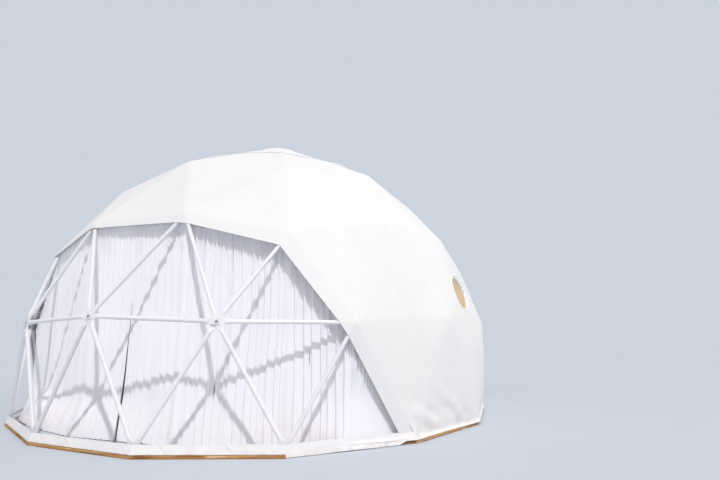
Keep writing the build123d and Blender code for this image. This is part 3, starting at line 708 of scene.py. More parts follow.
def make_lamp(name, bearing, height, power, size, colour):
    lamp = bpy.data.lights.new(name, "SUN")
    lamp.energy = power
    lamp.angle = math.radians(size)
    lamp.color = colour
    holder = bpy.data.objects.new(name, lamp)
    bpy.context.scene.collection.objects.link(holder)
    rise = math.radians(height)
    toward = direction(bearing) * math.cos(rise) + UP * math.sin(rise)
    holder.rotation_euler = toward.to_track_quat("Z", "Y").to_euler()
    holder.location = toward * 12.0


def make_light():
    make_lamp("sun", SUN_BEARING, SUN_HEIGHT, SUN_POWER, SUN_SIZE, SUN_COLOUR)
    make_lamp("fill", FILL_BEARING, FILL_HEIGHT, FILL_POWER, FILL_SIZE, FILL_COLOUR)


def make_sky():
    """Even light from all round; the camera and mirrored rays see the plain backdrop instead."""
    world = bpy.data.worlds.new("sky")
    bpy.context.scene.world = world
    world.use_nodes = True
    nodes = world.node_tree.nodes
    link = world.node_tree.links.new
    nodes.clear()
    path = nodes.new("ShaderNodeLightPath").outputs
    seen = path["Is Camera Ray"]
    for ray in ("Is Glossy Ray", "Is Transmission Ray"):
        either = nodes.new("ShaderNodeMath")
        either.operation = "MAXIMUM"
        link(seen, either.inputs[0])
        link(path[ray], either.inputs[1])
        seen = either.outputs[0]
    blend = nodes.new("ShaderNodeMixShader")
    link(seen, blend.inputs[0])
    for number, (colour, power) in enumerate(((SKY_COLOUR, SKY_POWER), (BACKDROP, 1.0)), 1):
        light = nodes.new("ShaderNodeBackground")
        light.inputs["Color"].default_value = (*colour, 1.0)
        light.inputs["Strength"].default_value = power
        link(light.outputs[0], blend.inputs[number])
    link(blend.outputs[0], nodes.new("ShaderNodeOutputWorld").inputs[0])


def make_floor():
    """Pale floor that keeps the shadow and fades into the backdrop."""
    paint = Paint("pale_floor", roughness=0.9, specular=0.1)
    tone = paint.blend(paint.noise(0.7, 4.0), (0.535, 0.580, 0.640), (0.560, 0.605, 0.665))
    paint.links.new(tone, paint.shader.inputs["Base Color"])
    glow = paint.node("ShaderNodeEmission", {"Color": BACKDROP})
    far = paint.node("ShaderNodeVectorMath", {0: paint.place}, operation="LENGTH").outputs["Value"]
    inputs = {0: paint.ramp(far, *FLOOR_FADE), 1: paint.shader.outputs[0], 2: glow.outputs[0]}
    blend = paint.node("ShaderNodeMixShader", inputs)
    paint.links.new(blend.outputs[0], paint.nodes["Material Output"].inputs["Surface"])
    corners = [(x * FLOOR_REACH, y * FLOOR_REACH, 0.0) for x, y in ((-1, -1), (1, -1), (1, 1), (-1, 1))]
    mesh = bpy.data.meshes.new("floor")
    mesh.from_pydata(corners, [], [(0, 1, 2, 3)])
    mesh.materials.append(paint.material)
    floor = bpy.data.objects.new("floor", mesh)
    bpy.context.scene.collection.objects.link(floor)


# Struts: round tube, pressed flat at both ends and bolted through the hub

TUBE_POINTS = 16
TIP_TURNS = (10.0, 30.0, 52.0, 72.0, 90.0)
TAPER_STEPS = (0.12, 0.3, 0.5, 0.7, 0.88, 1.0)


class Strut:
    def __init__(self, one, other):
        self.hubs = (one, other)

    def node(self):
        low, high = sorted(hub.row for hub in self.hubs)
        if low == high:
            return ("base_ring", "waist_ring", "shoulder_ring", "upper_ring", "crown_ring")[low]
        return ("lower_lattice", "middle_lattice", "upper_lattice", "crown_lattice", "apex_struts")[low]

    def rings(self):
        """Cross-sections from one tip to the other, with how flat each is pressed."""
        one, other = self.hubs
        along = (other.point - one.point).normalized()
        near = self.half(one, along, along)
        far = self.half(other, -along, along)
        return near + list(reversed(far))

    def half(self, hub, inward, along):
        across = along.cross(hub.normal).normalized()
        flat = (inward - hub.normal * inward.dot(hub.normal)).normalized()
        rise = across.cross(along).normalized()
        if rise.dot(hub.normal) < 0:
            rise = -rise
        middle = hub.point + hub.normal * hub.stack_place(self)
        tip_radius = TAB_WIDTH / 2.0
        made = []
        for turned in TIP_TURNS:
            angle = math.radians(turned)
            reach = TAB_END - tip_radius + tip_radius * math.cos(angle)
            made.append(self.section(middle - flat * reach, across, hub.normal, 0.0, math.sin(angle)))
        bend = middle + flat * TAB_FLAT
        made.append(self.section(bend, across, hub.normal, 0.0, 1.0))
        full = hub.point + inward * (TAB_FLAT + TAPER)
        for step in TAPER_STEPS:
            share = smooth_step(0.0, 1.0, step)
            above = mix(hub.normal, rise, share).normalized()
            made.append(self.section(mix(bend, full, step), across, above, share, 1.0))
        return made

    def section(self, centre, across, above, share, wide):
        """Ring of points: share 0 is pressed flat, 1 is round."""
        spots = []
        for k in range(TUBE_POINTS):
            turned = 2.0 * math.pi * k / TUBE_POINTS
            run = math.cos(turned)
            rise = math.sin(turned)
            flat_run = max(-1.0, min(1.0, run * 1.04)) * TAB_WIDTH / 2.0 * wide
            flat_rise = max(-1.0, min(1.0, rise * 2.5)) * TAB_THICK / 2.0
            x = mix(flat_run, TUBE_RADIUS * run, share)
            y = mix(flat_rise, TUBE_RADIUS * rise, share)
            spots.append(centre + across * x + above * y)
        return spots, 1.0 - share


def make_struts():
    struts = []
    for i, one in enumerate(HUBS):
        for other in HUBS[i + 1:]:
            if joined(one, other) and not (one in DOOR_SILL and other in DOOR_SILL):
                struts.append(Strut(one, other))
    for hub in HUBS:
        east = UP.cross(hub.normal)
        east = east.normalized() if east.length > 0.01 else Vector((1, 0, 0))
        north = hub.normal.cross(east)

        def turn(strut, hub=hub, east=east, north=north):
            other = strut.hubs[0] if strut.hubs[1] is hub else strut.hubs[1]
            away = other.point - hub.point
            return math.atan2(away.dot(north), away.dot(east))

        hub.ends = sorted([strut for strut in struts if hub in strut.hubs], key=turn)
    return struts


def build_struts():
    shapes = {}
    for strut in make_struts():
        shape = shapes.setdefault(strut.node(), Shape())
        rings = strut.rings()
        press = [share for ring, share in rings for _ in ring]
        shape.loft([ring for ring, share in rings], tone=rng.random(), press=press)
    for node, shape in shapes.items():
        shape.piece(node + "_tubes", PAINTS["steel"], "frame_steel", [node], crease=50.0, tidy=True)


# Hub bolts: washer and chamfered head outside, nut and thread end inside

BOLT_RADIUS = 0.0133
WASHER_RADIUS = 0.018
WASHER_HIGH = 0.0022
HEAD_TOP = 0.0102
THREAD_RADIUS = 0.0065
THREAD_TOP = 0.0200
BOLT_NODES = ("bolts_base", "bolts_waist", "bolts_shoulder", "bolts_crown", "bolts_crown", "bolts_crown")

# Profiles, as (radius, height) from the seat up
WASHER = [(WASHER_RADIUS - 0.001, 0.0), (WASHER_RADIUS, 0.0006), (WASHER_RADIUS, 0.0016),
          (WASHER_RADIUS - 0.001, WASHER_HIGH), (BOLT_RADIUS * 0.7, WASHER_HIGH)]
HEAD = [(BOLT_RADIUS * 0.94, WASHER_HIGH), (BOLT_RADIUS, 0.0032), (BOLT_RADIUS, 0.0085),
        (BOLT_RADIUS * 0.86, HEAD_TOP)]
THREAD = [(THREAD_RADIUS, HEAD_TOP), (THREAD_RADIUS, THREAD_TOP), (THREAD_RADIUS * 0.7, THREAD_TOP + 0.0015)]


def build_bolts():
    shapes = {}
    for hub in HUBS:
        shape = shapes.setdefault(BOLT_NODES[hub.row], Shape())
        middle = hub.point - hub.normal * STACK_SINK
        outer = hub.stack_half() + STACK_GAP
        inner = outer + (BRACKET_THICK + STACK_GAP if hub.row == 0 else 0.0)
        turned = rng.uniform(0.0, 1.0)
        for normal, reach in ((hub.normal, outer), (-hub.normal, inner)):
            seat = middle + normal * reach
            turned_profile(shape, seat, normal, WASHER, 20)
            turned_profile(shape, seat, normal, HEAD, 6, turned)
        turned_profile(shape, seat, normal, THREAD, 12)
    for name, shape in shapes.items():
        shape.piece(name + "_set", PAINTS["zinc"], "bright_steel", [name], crease=25.0, tidy=True)


# Folds in the cover and skirt near the ground

class Fold:
    """A soft ridge or valley between two spots given as (bearing, height)."""

    def __init__(self, start, stop, width, height):
        self.start = start
        self.stop = stop
        self.width = width
        self.height = height

    def at(self, bearing, z):
        scale = math.radians(FRAME_RADIUS)
        middle = (self.start[0] + self.stop[0]) / 2.0
        if bearing_gap(bearing, middle) > 30.0:
            return 0.0
        turned = (bearing - middle + 180.0) % 360.0 - 180.0 + middle
        high = Vector((self.start[0] * scale, self.start[1]))
        low = Vector((self.stop[0] * scale, self.stop[1]))
        spot = Vector((turned * scale, z))
        line = low - high
        share = (spot - high).dot(line) / line.length_squared
        held = max(0.0, min(1.0, share))
        away = (spot - high - line * held).length / self.width
        fade = math.sin(math.pi * min(1.0, 0.18 + 0.64 * held))
        return self.height * fade * math.exp(-away ** 1.5)


# The folds that show in the photograph, right of the window
SEEN_FOLDS = [
    Fold((61.2, 0.44), (66.8, 0.25), 0.045, -0.030),
    Fold((60.8, 0.34), (68.2, 0.12), 0.040, 0.034),
    Fold((60.3, 0.22), (64.6, 0.11), 0.035, -0.026),
    Fold((69.6, 0.35), (73.4, 0.25), 0.042, -0.022),
    Fold((73.0, 0.36), (77.0, 0.12), 0.040, 0.026),
    Fold((77.5, 0.26), (79.4, 0.07), 0.032, -0.018),
    Fold((80.2, 0.30), (83.2, 0.05), 0.036, 0.020),
    Fold((72.6, 1.02), (72.0, 0.62), 0.030, -0.008),
    Fold((66.0, 0.62), (72.5, 0.34), 0.050, 0.014),
    Fold((70.2, 1.11), (62.4, 0.42), 0.020, -0.010),
    Fold((69.6, 1.08), (62.0, 0.46), 0.045, 0.008),
    Fold((58.8, 0.26), (62.6, 0.11), 0.020, -0.034),
    Fold((58.8, 0.19), (62.8, 0.06), 0.034, 0.034),
]


def make_folds():
    folds = list(SEEN_FOLDS)
    draw = random.Random(7)
    for one, other in BASE_SPANS:
        span = (other.bearing - one.bearing) % 360.0
        middle = (one.bearing + span / 2.0 + 180.0) % 360.0 - 180.0
        if abs(middle) < 84.0 or (one in DOOR_SILL and other in DOOR_SILL):
            continue
        for _ in range(5):
            side = draw.choice((-1.0, 1.0))
            foot = one.bearing + span * draw.uniform(0.06, 0.94)
            low = (foot, draw.uniform(0.05, 0.14))
            high = (foot + side * draw.uniform(2.0, 6.5), draw.uniform(0.22, 0.48))
            height = draw.choice((-1.0, 1.0)) * draw.uniform(0.010, 0.020)
            folds.append(Fold(high, low, draw.uniform(0.035, 0.06), height))
    return folds


FOLDS = make_folds()


def fold_height(point):
    if point.z > 1.15:
        return 0.0
    bearing = bearing_of(point)
    return sum(fold.at(bearing, point.z) for fold in FOLDS)


def billow(point):
    """How far the slack cover stands off the struts on the right side."""
    bearing = bearing_of(point)
    turned = smooth_step(66.0, 84.0, bearing) * (1.0 - smooth_step(106.0, 118.0, bearing))
    level = (0.5 + 0.5 * smooth_step(0.10, 0.45, point.z)) * (1.0 - 0.4 * smooth_step(0.9, 1.4, point.z))
    return BILLOW * turned * level * (1.0 - smooth_step(2.0, 2.9, point.z))


# Cover: one stretched skin over the struts, down to the sill boards

COVER_CUTS = 26
FILM_CUTS = 14
COVER_BOW = 0.020
CROWN_SAG = 0.0020
BILLOW = 0.040
VALLEY_FADE = (0.015, 0.10)
RIDGE_FADE = (-0.02, 0.03)
FILM_SAG = 0.006
FLARE_STEPS = 6
FLARE_OUT = 0.026
FLARE_CLEAR = 0.008
SKIN_SEAM = 1.0
GORE_FIRST = 36.0
GORE_TURN = 72.0


class Skin:
    """Facets divided into small triangles that share their points along the struts."""

    def __init__(self, facets, cuts, sag, seams, lift=SKIN_LIFT):
        self.shape = Shape()
        self.keys = {}
        self.cuts = cuts
        self.sag = sag
        self.seams = seams
        self.corners = {id(hub): skin_corner(hub, lift) for hub in ALL_HUBS}
        for number, facet in enumerate(facets):
            self.add_facet(number, facet)

    def key(self, number, facet, shares):
        used = sorted((id(hub), share) for hub, share in zip(facet, shares) if share)
        return tuple(used) if len(used) < 3 else (number, shares)

    def add_facet(self, number, facet):
        cuts = self.cuts
        normal = facet_normal(facet)
        index = {}
        for i in range(cuts + 1):
            for j in range(cuts + 1 - i):
                shares = (cuts - i - j, i, j)
                key = self.key(number, facet, shares)
                if key not in self.keys:
                    spot, seam = self.place(facet, normal, shares)
                    self.keys[key] = self.shape.add([spot], seam=[seam])
                index[i, j] = self.keys[key]
        for i in range(cuts):
            for j in range(cuts - i):
                self.shape.faces.append((index[i, j], index[i + 1, j], index[i, j + 1]))
                if i + j < cuts - 1:
                    self.shape.faces.append((index[i + 1, j], index[i + 1, j + 1], index[i, j + 1]))

    def place(self, facet, normal, shares):
        parts = [share / self.cuts for share in shares]
        spot = Vector((0, 0, 0))
        for hub, part in zip(facet, parts):
            spot += self.corners[id(hub)] * part
        bubble = 27.0 * parts[0] * parts[1] * parts[2]
        near_strut = min(parts)
        loose = smooth_step(0.0, 0.12, near_strut)
        lift = self.bow(spot) * bubble ** 0.8
        lift += loose * (0.0030 * ripple(spot, 2.6, 3.1) + 0.0012 * ripple(spot, 7.5, 9.7))
        out = Vector((spot.x, spot.y, 0)).normalized()
        spot += normal * lift
        if self.seams:
            fold = fold_height(spot)
            limits = VALLEY_FADE if fold < 0.0 else RIDGE_FADE
            spot += out * (fold * smooth_step(*limits, near_strut) + billow(spot))
        return spot, self.seam(facet, parts)

    def bow(self, spot):
        """Slack cloth stands out between the struts, and sinks in over the crown."""
        if not self.seams:
            return -self.sag
        low = smooth_step(3.1, 2.2, spot.z) * (0.35 + 0.65 * smooth_step(20.0, 75.0, abs(bearing_of(spot))))
        return COVER_BOW * low - CROWN_SAG * (1.0 - low)

    def seam(self, facet, parts):
        """Distance to the nearest weld, which runs under a ring of struts or up a gore."""
        best = 1.0
        for k in range(3):
            one, other = facet[(k + 1) % 3], facet[(k + 2) % 3]
            ring = one.row == other.row and one.row in (1, 2, 3)
            if not self.seams or not (ring or is_gore(one, other)):
                continue
            edge = other.point - one.point
            tall = edge.cross(facet[k].point - one.point).length / edge.length
            best = min(best, parts[k] * tall)
        return best


def is_gore(one, other):
    """Welds that run up the cover along the five main spines."""
    if one.row == other.row or min(one.row, other.row) < 2:
        return False
    turns = [bearing_gap(hub.bearing, GORE_FIRST) % GORE_TURN for hub in (one, other) if hub.row < 5]
    return all(min(turn, GORE_TURN - turn) < 1.0 for turn in turns)


def flare(shape, lows):
    """Continues a lower edge down over the sill: lows is a row of (index, point, outward)."""
    depth = HUB_HEIGHT - BOARD_HIGH - FLARE_CLEAR
    upper = [index for index, point, out in lows]
    for step in range(1, FLARE_STEPS + 1):
        share = step / FLARE_STEPS
        spots = []
        for index, point, out in lows:
            spot = Vector((point.x, point.y, point.z - depth * share)) + out * (FLARE_OUT * share ** 1.5)
            loose = 0.0045 * ripple(spot, 9.0, 4.0) + 0.0025 * ripple(spot, 24.0, 8.0)
            spots.append(spot + out * (fold_height(spot) * 0.55 + loose * share))
        start = shape.add(spots, seam=[SKIN_SEAM] * len(spots))
        lower = list(range(start, start + len(spots)))
        for k in range(len(upper) - 1):
            shape.faces.append((upper[k], lower[k], lower[k + 1], upper[k + 1]))
        upper = lower


def lower_edges(skin, facets):
    """The skin's edges along the base ring, each a row of (index, point, outward)."""
    found = []
    for facet in facets:
        low = sorted([hub for hub in facet if hub.row == 0], key=lambda hub: hub.bearing)
        if len(low) < 2:
            continue
        one, other = low
        if other.bearing - one.bearing > 180.0:
            one, other = other, one
        row = []
        for k in range(skin.cuts + 1):
            parts = {one: skin.cuts - k, other: k}
            shares = tuple(parts.get(hub, 0) for hub in facet)
            index = skin.keys[skin.key(-1, facet, shares)]
            out = mix(one.level, other.level, k / skin.cuts).normalized()
            row.append((index, skin.shape.points[index], out))
        found.append(row)
    return found


def open_ports(shape):
    """Leaves out the cover under the glazed part of each porthole."""
    centres = [centre for centre, normal in port_places()]

    def open_here(face):
        middle = sum((shape.points[index] for index in face), Vector()) / len(face)
        return any((middle - centre).length < PORT_OPENING for centre in centres)

    shape.faces = [face for face in shape.faces if not open_here(face)]


def build_cover():
    skin = Skin(COVER_FACETS, COVER_CUTS, CROWN_SAG, True)
    for row in lower_edges(skin, COVER_FACETS):
        flare(skin.shape, row)
    open_ports(skin.shape)
    nodes = [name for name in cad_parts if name.startswith("cover_")] + ["skirt_rear"]
    piece = skin.shape.piece("cover_skin", PAINTS["cover"], "cover_fabric", nodes, crease=180.0)
    merge_close(piece)
    thicken(piece, offset=-1.0)


def build_film():
    skin = Skin(WINDOW_FACETS, FILM_CUTS, FILM_SAG, False, FILM_LIFT)
    nodes = ["window_lower", "window_upper"]
    piece = skin.shape.piece("window_film", PAINTS["film"], "clear_film", nodes, crease=180.0)


# Hem: the cover's welded border along the window

def rim_pairs():
    """Struts between window and cover, with the window facet on each, from left to right."""
    found = []
    for facet in WINDOW_FACETS:
        for k in range(3):
            one, other, third = facet[k], facet[(k + 1) % 3], facet[(k + 2) % 3]
            if any(one in plain and other in plain for plain in COVER_FACETS):
                if one.bearing > other.bearing:
                    one, other = other, one
                found.append((one, other, third))
    return sorted(found, key=lambda item: item[0].bearing + item[1].bearing)


HEM_THICK = 0.0014
HEM_RISE = 0.0022
HEM_ROWS = 6
HEM_STEPS = 40
HEM_CORNER_STEPS = 8


def hem_strip(shape, left, right, steps):
    """Ruled strip between a rim line and its inner line, each a (start, stop) pair."""
    columns = []
    for k in range(steps + 1):
        run = k / steps
        outer = mix(left[0], right[0], run)
        inner = mix(left[1], right[1], run)
        column = []
        for i in range(HEM_ROWS + 1):
            share = i / HEM_ROWS
            spot = mix(outer, inner, share)
            wave = 0.0024 * math.sin(math.pi * run) * (0.5 + ripple(spot, 6.0, 5.0))
            lift = HEM_RISE * smooth_step(0.0, 0.3, share) - HEM_THICK + share * wave
            column.append(spot + (spot - CENTRE).normalized() * lift)
        columns.append(column)
    across = [i / HEM_ROWS for i in range(HEM_ROWS + 1)] * (steps + 1)
    shape.loft(columns, closed=False, across=across)


def side_mark(hub, far, beside):
    """Where the hem's inner line crosses the side from hub toward far."""
    side = (skin_corner(far) - skin_corner(hub)).normalized()
    rim = (skin_corner(beside) - skin_corner(hub)).normalized()
    return skin_corner(hub) + side * (HEM_WIDTHS[RIM_HUBS.index(hub)] / math.sqrt(1.0 - side.dot(rim) ** 2))


def rim_marks(hub, facet, rims):
    """Where the hem crosses the sides of a facet that touches the rim at this hub alone."""
    marks = []
    for spot in facet:
        for one, other, third in rims:
            if hub in (one, other) and third is spot:
                marks.append(side_mark(hub, spot, other if one is hub else one))
                break
    return sorted(marks, key=bearing_of)


def build_hem():
    shape = Shape()
    rims = rim_pairs()
    for one, other, third in rims:
        left = (skin_corner(one), side_mark(one, third, other))
        right = (skin_corner(other), side_mark(other, third, one))
        hem_strip(shape, left, right, HEM_STEPS)
    rim_hubs = [hub for rim in rims for hub in rim[:2] if hub.row > 0]
    for facet in WINDOW_FACETS:
        if any({one, other} <= set(facet) for one, other, third in rims):
            continue
        for hub in facet:
            marks = rim_marks(hub, facet, rims) if hub in rim_hubs else []
            if len(marks) == 2:
                corner = skin_corner(hub)
                hem_strip(shape, (corner, marks[0]), (corner, marks[1]), HEM_CORNER_STEPS)
    piece = shape.piece("window_hem_band", PAINTS["hem"], "cover_fabric", ["window_hem"], crease=60.0)
    merge_close(piece, 0.0006)
    thicken(piece, HEM_THICK, 1.0)


# Skirt below the window, which stands on the boards and at its right end hangs over them

SKIRT_COLUMNS = 150
SKIRT_ROWS = 16
SKIRT_OUT = 0.0296
DRAPE_TURN = (0.85, 0.92)


def skirt_profile(share, hang):
    """(outward, height) from the weld at the top to the foot, standing or hanging."""
    if hang:
        return SKIRT_OUT + 0.010 * smooth_step(0.3, 1.0, share), SKIRT_TOP - (SKIRT_TOP - 0.005) * share
    return SKIRT_OUT + 0.020 * share ** 1.4, SKIRT_TOP - (SKIRT_TOP - BOARD_HIGH - 0.0025) * share


# Slanting creases left of the middle, where the band is pulled: bearings of their upper ends
CREASES = (-29.6, -27.6, -26.0, -23.8, -20.6, -15.2, -9.0, -3.2, 3.4, 9.6, 16.0, 26.5)


def crease_height(bearing, share):
    total = 0.0
    for middle in CREASES:
        slant = middle + (share - 0.1) * 1.7
        away = bearing - slant
        total += 0.0070 * smooth_step(-0.12, 0.12, away) * math.exp(-max(0.0, away) / 0.9)
    return total * (0.35 + 0.65 * math.sin(math.pi * min(1.0, share + 0.15)))


def standing_wave(spot, bearing, share):
    """Waviness of the band that stands on the boards."""
    wave = 0.0045 * ripple(spot, 6.0, 2.0) + 0.0022 * ripple(spot, 19.0, 6.0)
    return wave * (0.2 + 0.8 * share) + crease_height(bearing, share)


def hanging_wave(run, share):
    """Soft crosswise folds of the cloth that hangs to the floor."""
    tuck = math.sin(math.pi * min(1.0, run * 1.02)) ** 0.5
    wave = 0.016 * ripple_at(run * 3.6, share * 1.1 + run * 1.4, 0.0, 1.7)
    wave += 0.009 * ripple_at(run * 11.0, share * 2.4 + run * 3.0, 0.0, 5.2)
    shelf = 0.016 * hill(share - 0.52 - 0.20 * (run - 0.6), 0.10) * smooth_step(0.35, 0.7, run)
    return max(-0.004, (wave + 0.006) * share * tuck) + shelf * tuck


def skirt_point(one, other, run, share, hang):
    along = mix(one.point, other.point, run)
    level = mix(one.level, other.level, run).normalized()
    stretch = 1.0 / level.dot(((one.level + other.level) / 2.0).normalized())
    hung, hung_z = skirt_profile(share, True)
    stood, stood_z = skirt_profile(share, False)
    falls = 1.0 - smooth_step(*DRAPE_TURN, run) if hang else 0.0
    spot = Vector((along.x, along.y, 0)) + level * mix(stood, hung, falls) * stretch
    spot.z = mix(stood_z, hung_z, falls)
    if hang:
        lifted = 0.5 + ripple_at(run * 4.0, 0.0, 0.0, 2.4)
        spot.z += 0.010 * share * max(0.0, lifted) * math.sin(math.pi * run)
        return spot + level * (hanging_wave(run, share) * falls)
    spot.z += 0.0035 * smooth_step(0.7, 1.0, share) * max(0.0, ripple(spot, 9.0, 3.0))
    return spot + level * standing_wave(spot, bearing_of(spot), share)


def build_skirt():
    shape = Shape()
    window_base = [hub for hub in BASE_HUBS if abs(hub.bearing) <= WINDOW_LIMITS[0]]
    shares = [i / SKIRT_ROWS for i in range(SKIRT_ROWS + 1)]
    for one, other in zip(window_base, window_base[1:]):
        hang = is_draped(one, other)
        grid = []
        for k in range(SKIRT_COLUMNS + 1):
            run = k / SKIRT_COLUMNS
            grid.append([skirt_point(one, other, run, share, hang) for share in shares])
        shape.loft(grid, closed=False)
    piece = shape.piece("skirt_band", PAINTS["skirt"], "cover_fabric", ["skirt_front"], crease=180.0)
    merge_close(piece, 0.0012)
    thicken(piece)


# Sill boards with a rough edge, splits and chips

BOARD_STEP = 0.020
BOARD_FACES = 9
BOARD_JOINT = 0.0012


def board_section():
    """(across, up) around the board, finest on the outer face that shows."""
    inner = [(-1.0, 0.0), (-1.0, 0.5), (-1.0, 1.0), (-0.5, 1.0), (0.0, 1.0), (0.5, 1.0), (0.8, 1.0)]
    face = [(1.0, 1.0 - k / (BOARD_FACES - 1.0)) for k in range(BOARD_FACES)]
    return inner + face + [(0.0, 0.0)]


def board_wear(run, up, number):
    """How far the outer face is split and chipped away at a spot, each from 0 to 1."""
    split = 0.0
    for k in range(3):
        line = 0.25 + 0.25 * k + 0.10 * ripple_at(run * 1.1, k * 5.0, number, 2.0)
        open_here = smooth_step(0.05, 0.30, ripple_at(run * 2.3, k * 9.0, number * 3.0, 6.0))
        split = max(split, open_here * (1.0 - smooth_step(0.03, 0.10, abs(up - line))))
    chip = smooth_step(0.22, 0.42, ripple_at(run * 3.4, up * 1.1, number * 2.7, 0.4))
    return split, chip


class Board:
    """A sill board between two ground hubs, mitred to its neighbours."""

    def __init__(self, number, one, other):
        middle = (one.point + other.point) / 2.0
        self.number = number
        self.out = Vector((middle.x, middle.y, 0)).normalized()
        self.side = UP.cross(self.out)
        self.reach = self.out.dot(one.point)
        self.front = BOARD_OUT_BEHIND if is_draped(one, other) else BOARD_OUT
        self.spread = math.tan(math.radians(((other.bearing - one.bearing) % 360.0) / 2.0))
        self.fields = {"along": [], "around": [], "split": [], "chip": []}

    def rings(self):
        length = 2.0 * (self.reach + self.front) * self.spread
        steps = int(length / BOARD_STEP)
        return [self.ring(2.0 * k / steps - 1.0) for k in range(steps + 1)]

    def ring(self, run):
        """Worn cross-section; run goes from -1 at one end of the board to 1 at the other."""
        ring = []
        travelled = 0.0
        for across, up in board_section():
            radial = self.reach + (self.front if across > 0 else BOARD_IN) * across
            half = radial * self.spread - BOARD_JOINT
            split, chip = board_wear(half * run, up, self.number) if across > 0.9 else (0.0, 0.0)
            spot = self.out * radial + self.side * (half * run) + UP * (BOARD_HIGH * up)
            self.wear_down(spot, across, up, split, chip)
            travelled += (spot - ring[-1]).length if ring else 0.0
            ring.append(spot)
            values = (half * run + self.number * 1.7, travelled, split, chip)
            for name, value in zip(self.fields, values):
                self.fields[name].append(value)
        return ring

    def wear_down(self, spot, across, up, split, chip):
        outer = across > 0.9
        rough = ripple(spot, 16.0, self.number * 3.3) + 0.6 * ripple(spot, 60.0, self.number * 5.1)
        if outer:
            spot -= self.out * (0.0030 - 0.0022 * rough + 0.006 * chip + 0.006 * split)
        if up > 0.9:
            edge = 0.0045 * max(0.0, ripple(spot, 5.0, self.number)) if across > 0.7 else 0.0
            spot.z -= 0.0022 - 0.0016 * rough + edge + 0.006 * chip
        if outer and up < 0.1:
            spot.z += 0.004 * max(0.0, ripple(spot, 7.0, self.number + 4.0))


def build_boards():
    shape = Shape()
    draw = random.Random(23)
    for number, (one, other) in enumerate(BASE_SPANS):
        board = Board(number, one, other)
        rings = board.rings()
        shape.loft(rings, tone=draw.random(), **board.fields)
    shape.piece("sill_timbers", PAINTS["wood"], "sill_wood", ["sill_boards"], crease=50.0, tidy=True)


SCREW_HEAD = [(0.0062, -0.0002), (0.0062, 0.0012), (0.0048, 0.0026), (0.0022, 0.0030), (0.0018, 0.0018)]
SCREW_IN = 0.046
SCREW_APART = 0.018


def build_brackets():
    """The bent plates stay as they are, with softened edges, and get their screws."""
    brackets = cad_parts["base_brackets"]
    brackets.data.materials.clear()
    brackets.data.materials.append(PAINTS["bracket"])
    soft = brackets.modifiers.new("edges", "BEVEL")
    soft.width = 0.0012
    soft.segments = 2
    shape = Shape()
    for hub in BASE_HUBS:
        side = UP.cross(hub.level)
        for across in (-SCREW_APART, SCREW_APART):
            centre = hub.point - hub.level * SCREW_IN + side * across
            centre.z = BOARD_HIGH + STACK_GAP + BRACKET_THICK
            turned_profile(shape, centre, UP, SCREW_HEAD, 14)
    shape.piece("bracket_screws", PAINTS["zinc"], "bright_steel", crease=30.0, tidy=True)


# Curtains: five pleated sheets that hang straight down inside the window

# Heights of the hems; below the guide's height the cloth may stand only so far past the boards' edge
CURTAIN_FOOT = 0.008
CURTAIN_OVER_BOARD = 0.046
CURTAIN_PAST = 0.048
CURTAIN_GUIDE = 0.9
RAIL_DROP = 0.062
RAIL_BACK = (0.040, 0.090, 0.035, 0.022, 0.028, 0.045, 0.058, 0.018)
RAIL_RADIUS = 0.011
RAIL_CLEAR = 0.007
RAIL_STOP = 0.150
HANGER_PLACES = (0.2, 0.8)
HANGER_HALF = (0.007, 0.0015)
HEADING_RISE = 0.022
HEADING_OUT = 0.021
CORNER_BLEND = 0.10
RIM_LEAN = (0.0, 0.0, 0.012, 0.014, 0.012, 0.006, 0.006, 0.006)
FOOT_OUT = (0.08, 0.16, 0.28, 0.11, 0.04, 0.02, 0.04, 0.02)
FOOT_RISE = 0.5
WAIST_IN = 0.022
PLEAT_FACE = 0.82


def rail_mark(hub):
    """Spot on the rail's line beside a hub of the window's rim."""
    return hub.point - hub.level * RAIL_BACK[RIM_HUBS.index(hub)] - UP * RAIL_DROP


class Track:
    """Line that a curtain hangs from, along neighbouring hubs of the rim."""

    def __init__(self, hubs):
        self.hubs = hubs
        self.leans = [RIM_LEAN[RIM_HUBS.index(hub)] for hub in hubs]
        self.foots = [FOOT_OUT[RIM_HUBS.index(hub)] for hub in hubs]
        self.spots = [rail_mark(hub) for hub in hubs]
        self.runs = [0.0]
        for one, other in zip(self.spots, self.spots[1:]):
            self.runs.append(self.runs[-1] + Vector((other.x - one.x, other.y - one.y)).length)

    def at(self, run):
        """Spot on the rail's line at a level distance, and the way out of the room there."""
        for k in range(len(self.spots) - 1):
            if run <= self.runs[k + 1] or k == len(self.spots) - 2:
                break
        one, other = self.spots[k], self.spots[k + 1]
        share = (run - self.runs[k]) / (self.runs[k + 1] - self.runs[k])
        out = Vector((other.x - one.x, other.y - one.y, 0)).normalized().cross(UP)
        for end in (k, k + 1):
            near = 1.0 - smooth_step(0.0, CORNER_BLEND, abs(run - self.runs[end]))
            if self.hubs[end].row > 0:
                out = mix(out, self.hubs[end].level, near).normalized()
        lean = mix(self.leans[k], self.leans[k + 1], share)
        foot = mix(self.foots[k], self.foots[k + 1], share)
        return mix(one, other, share), out, lean, foot


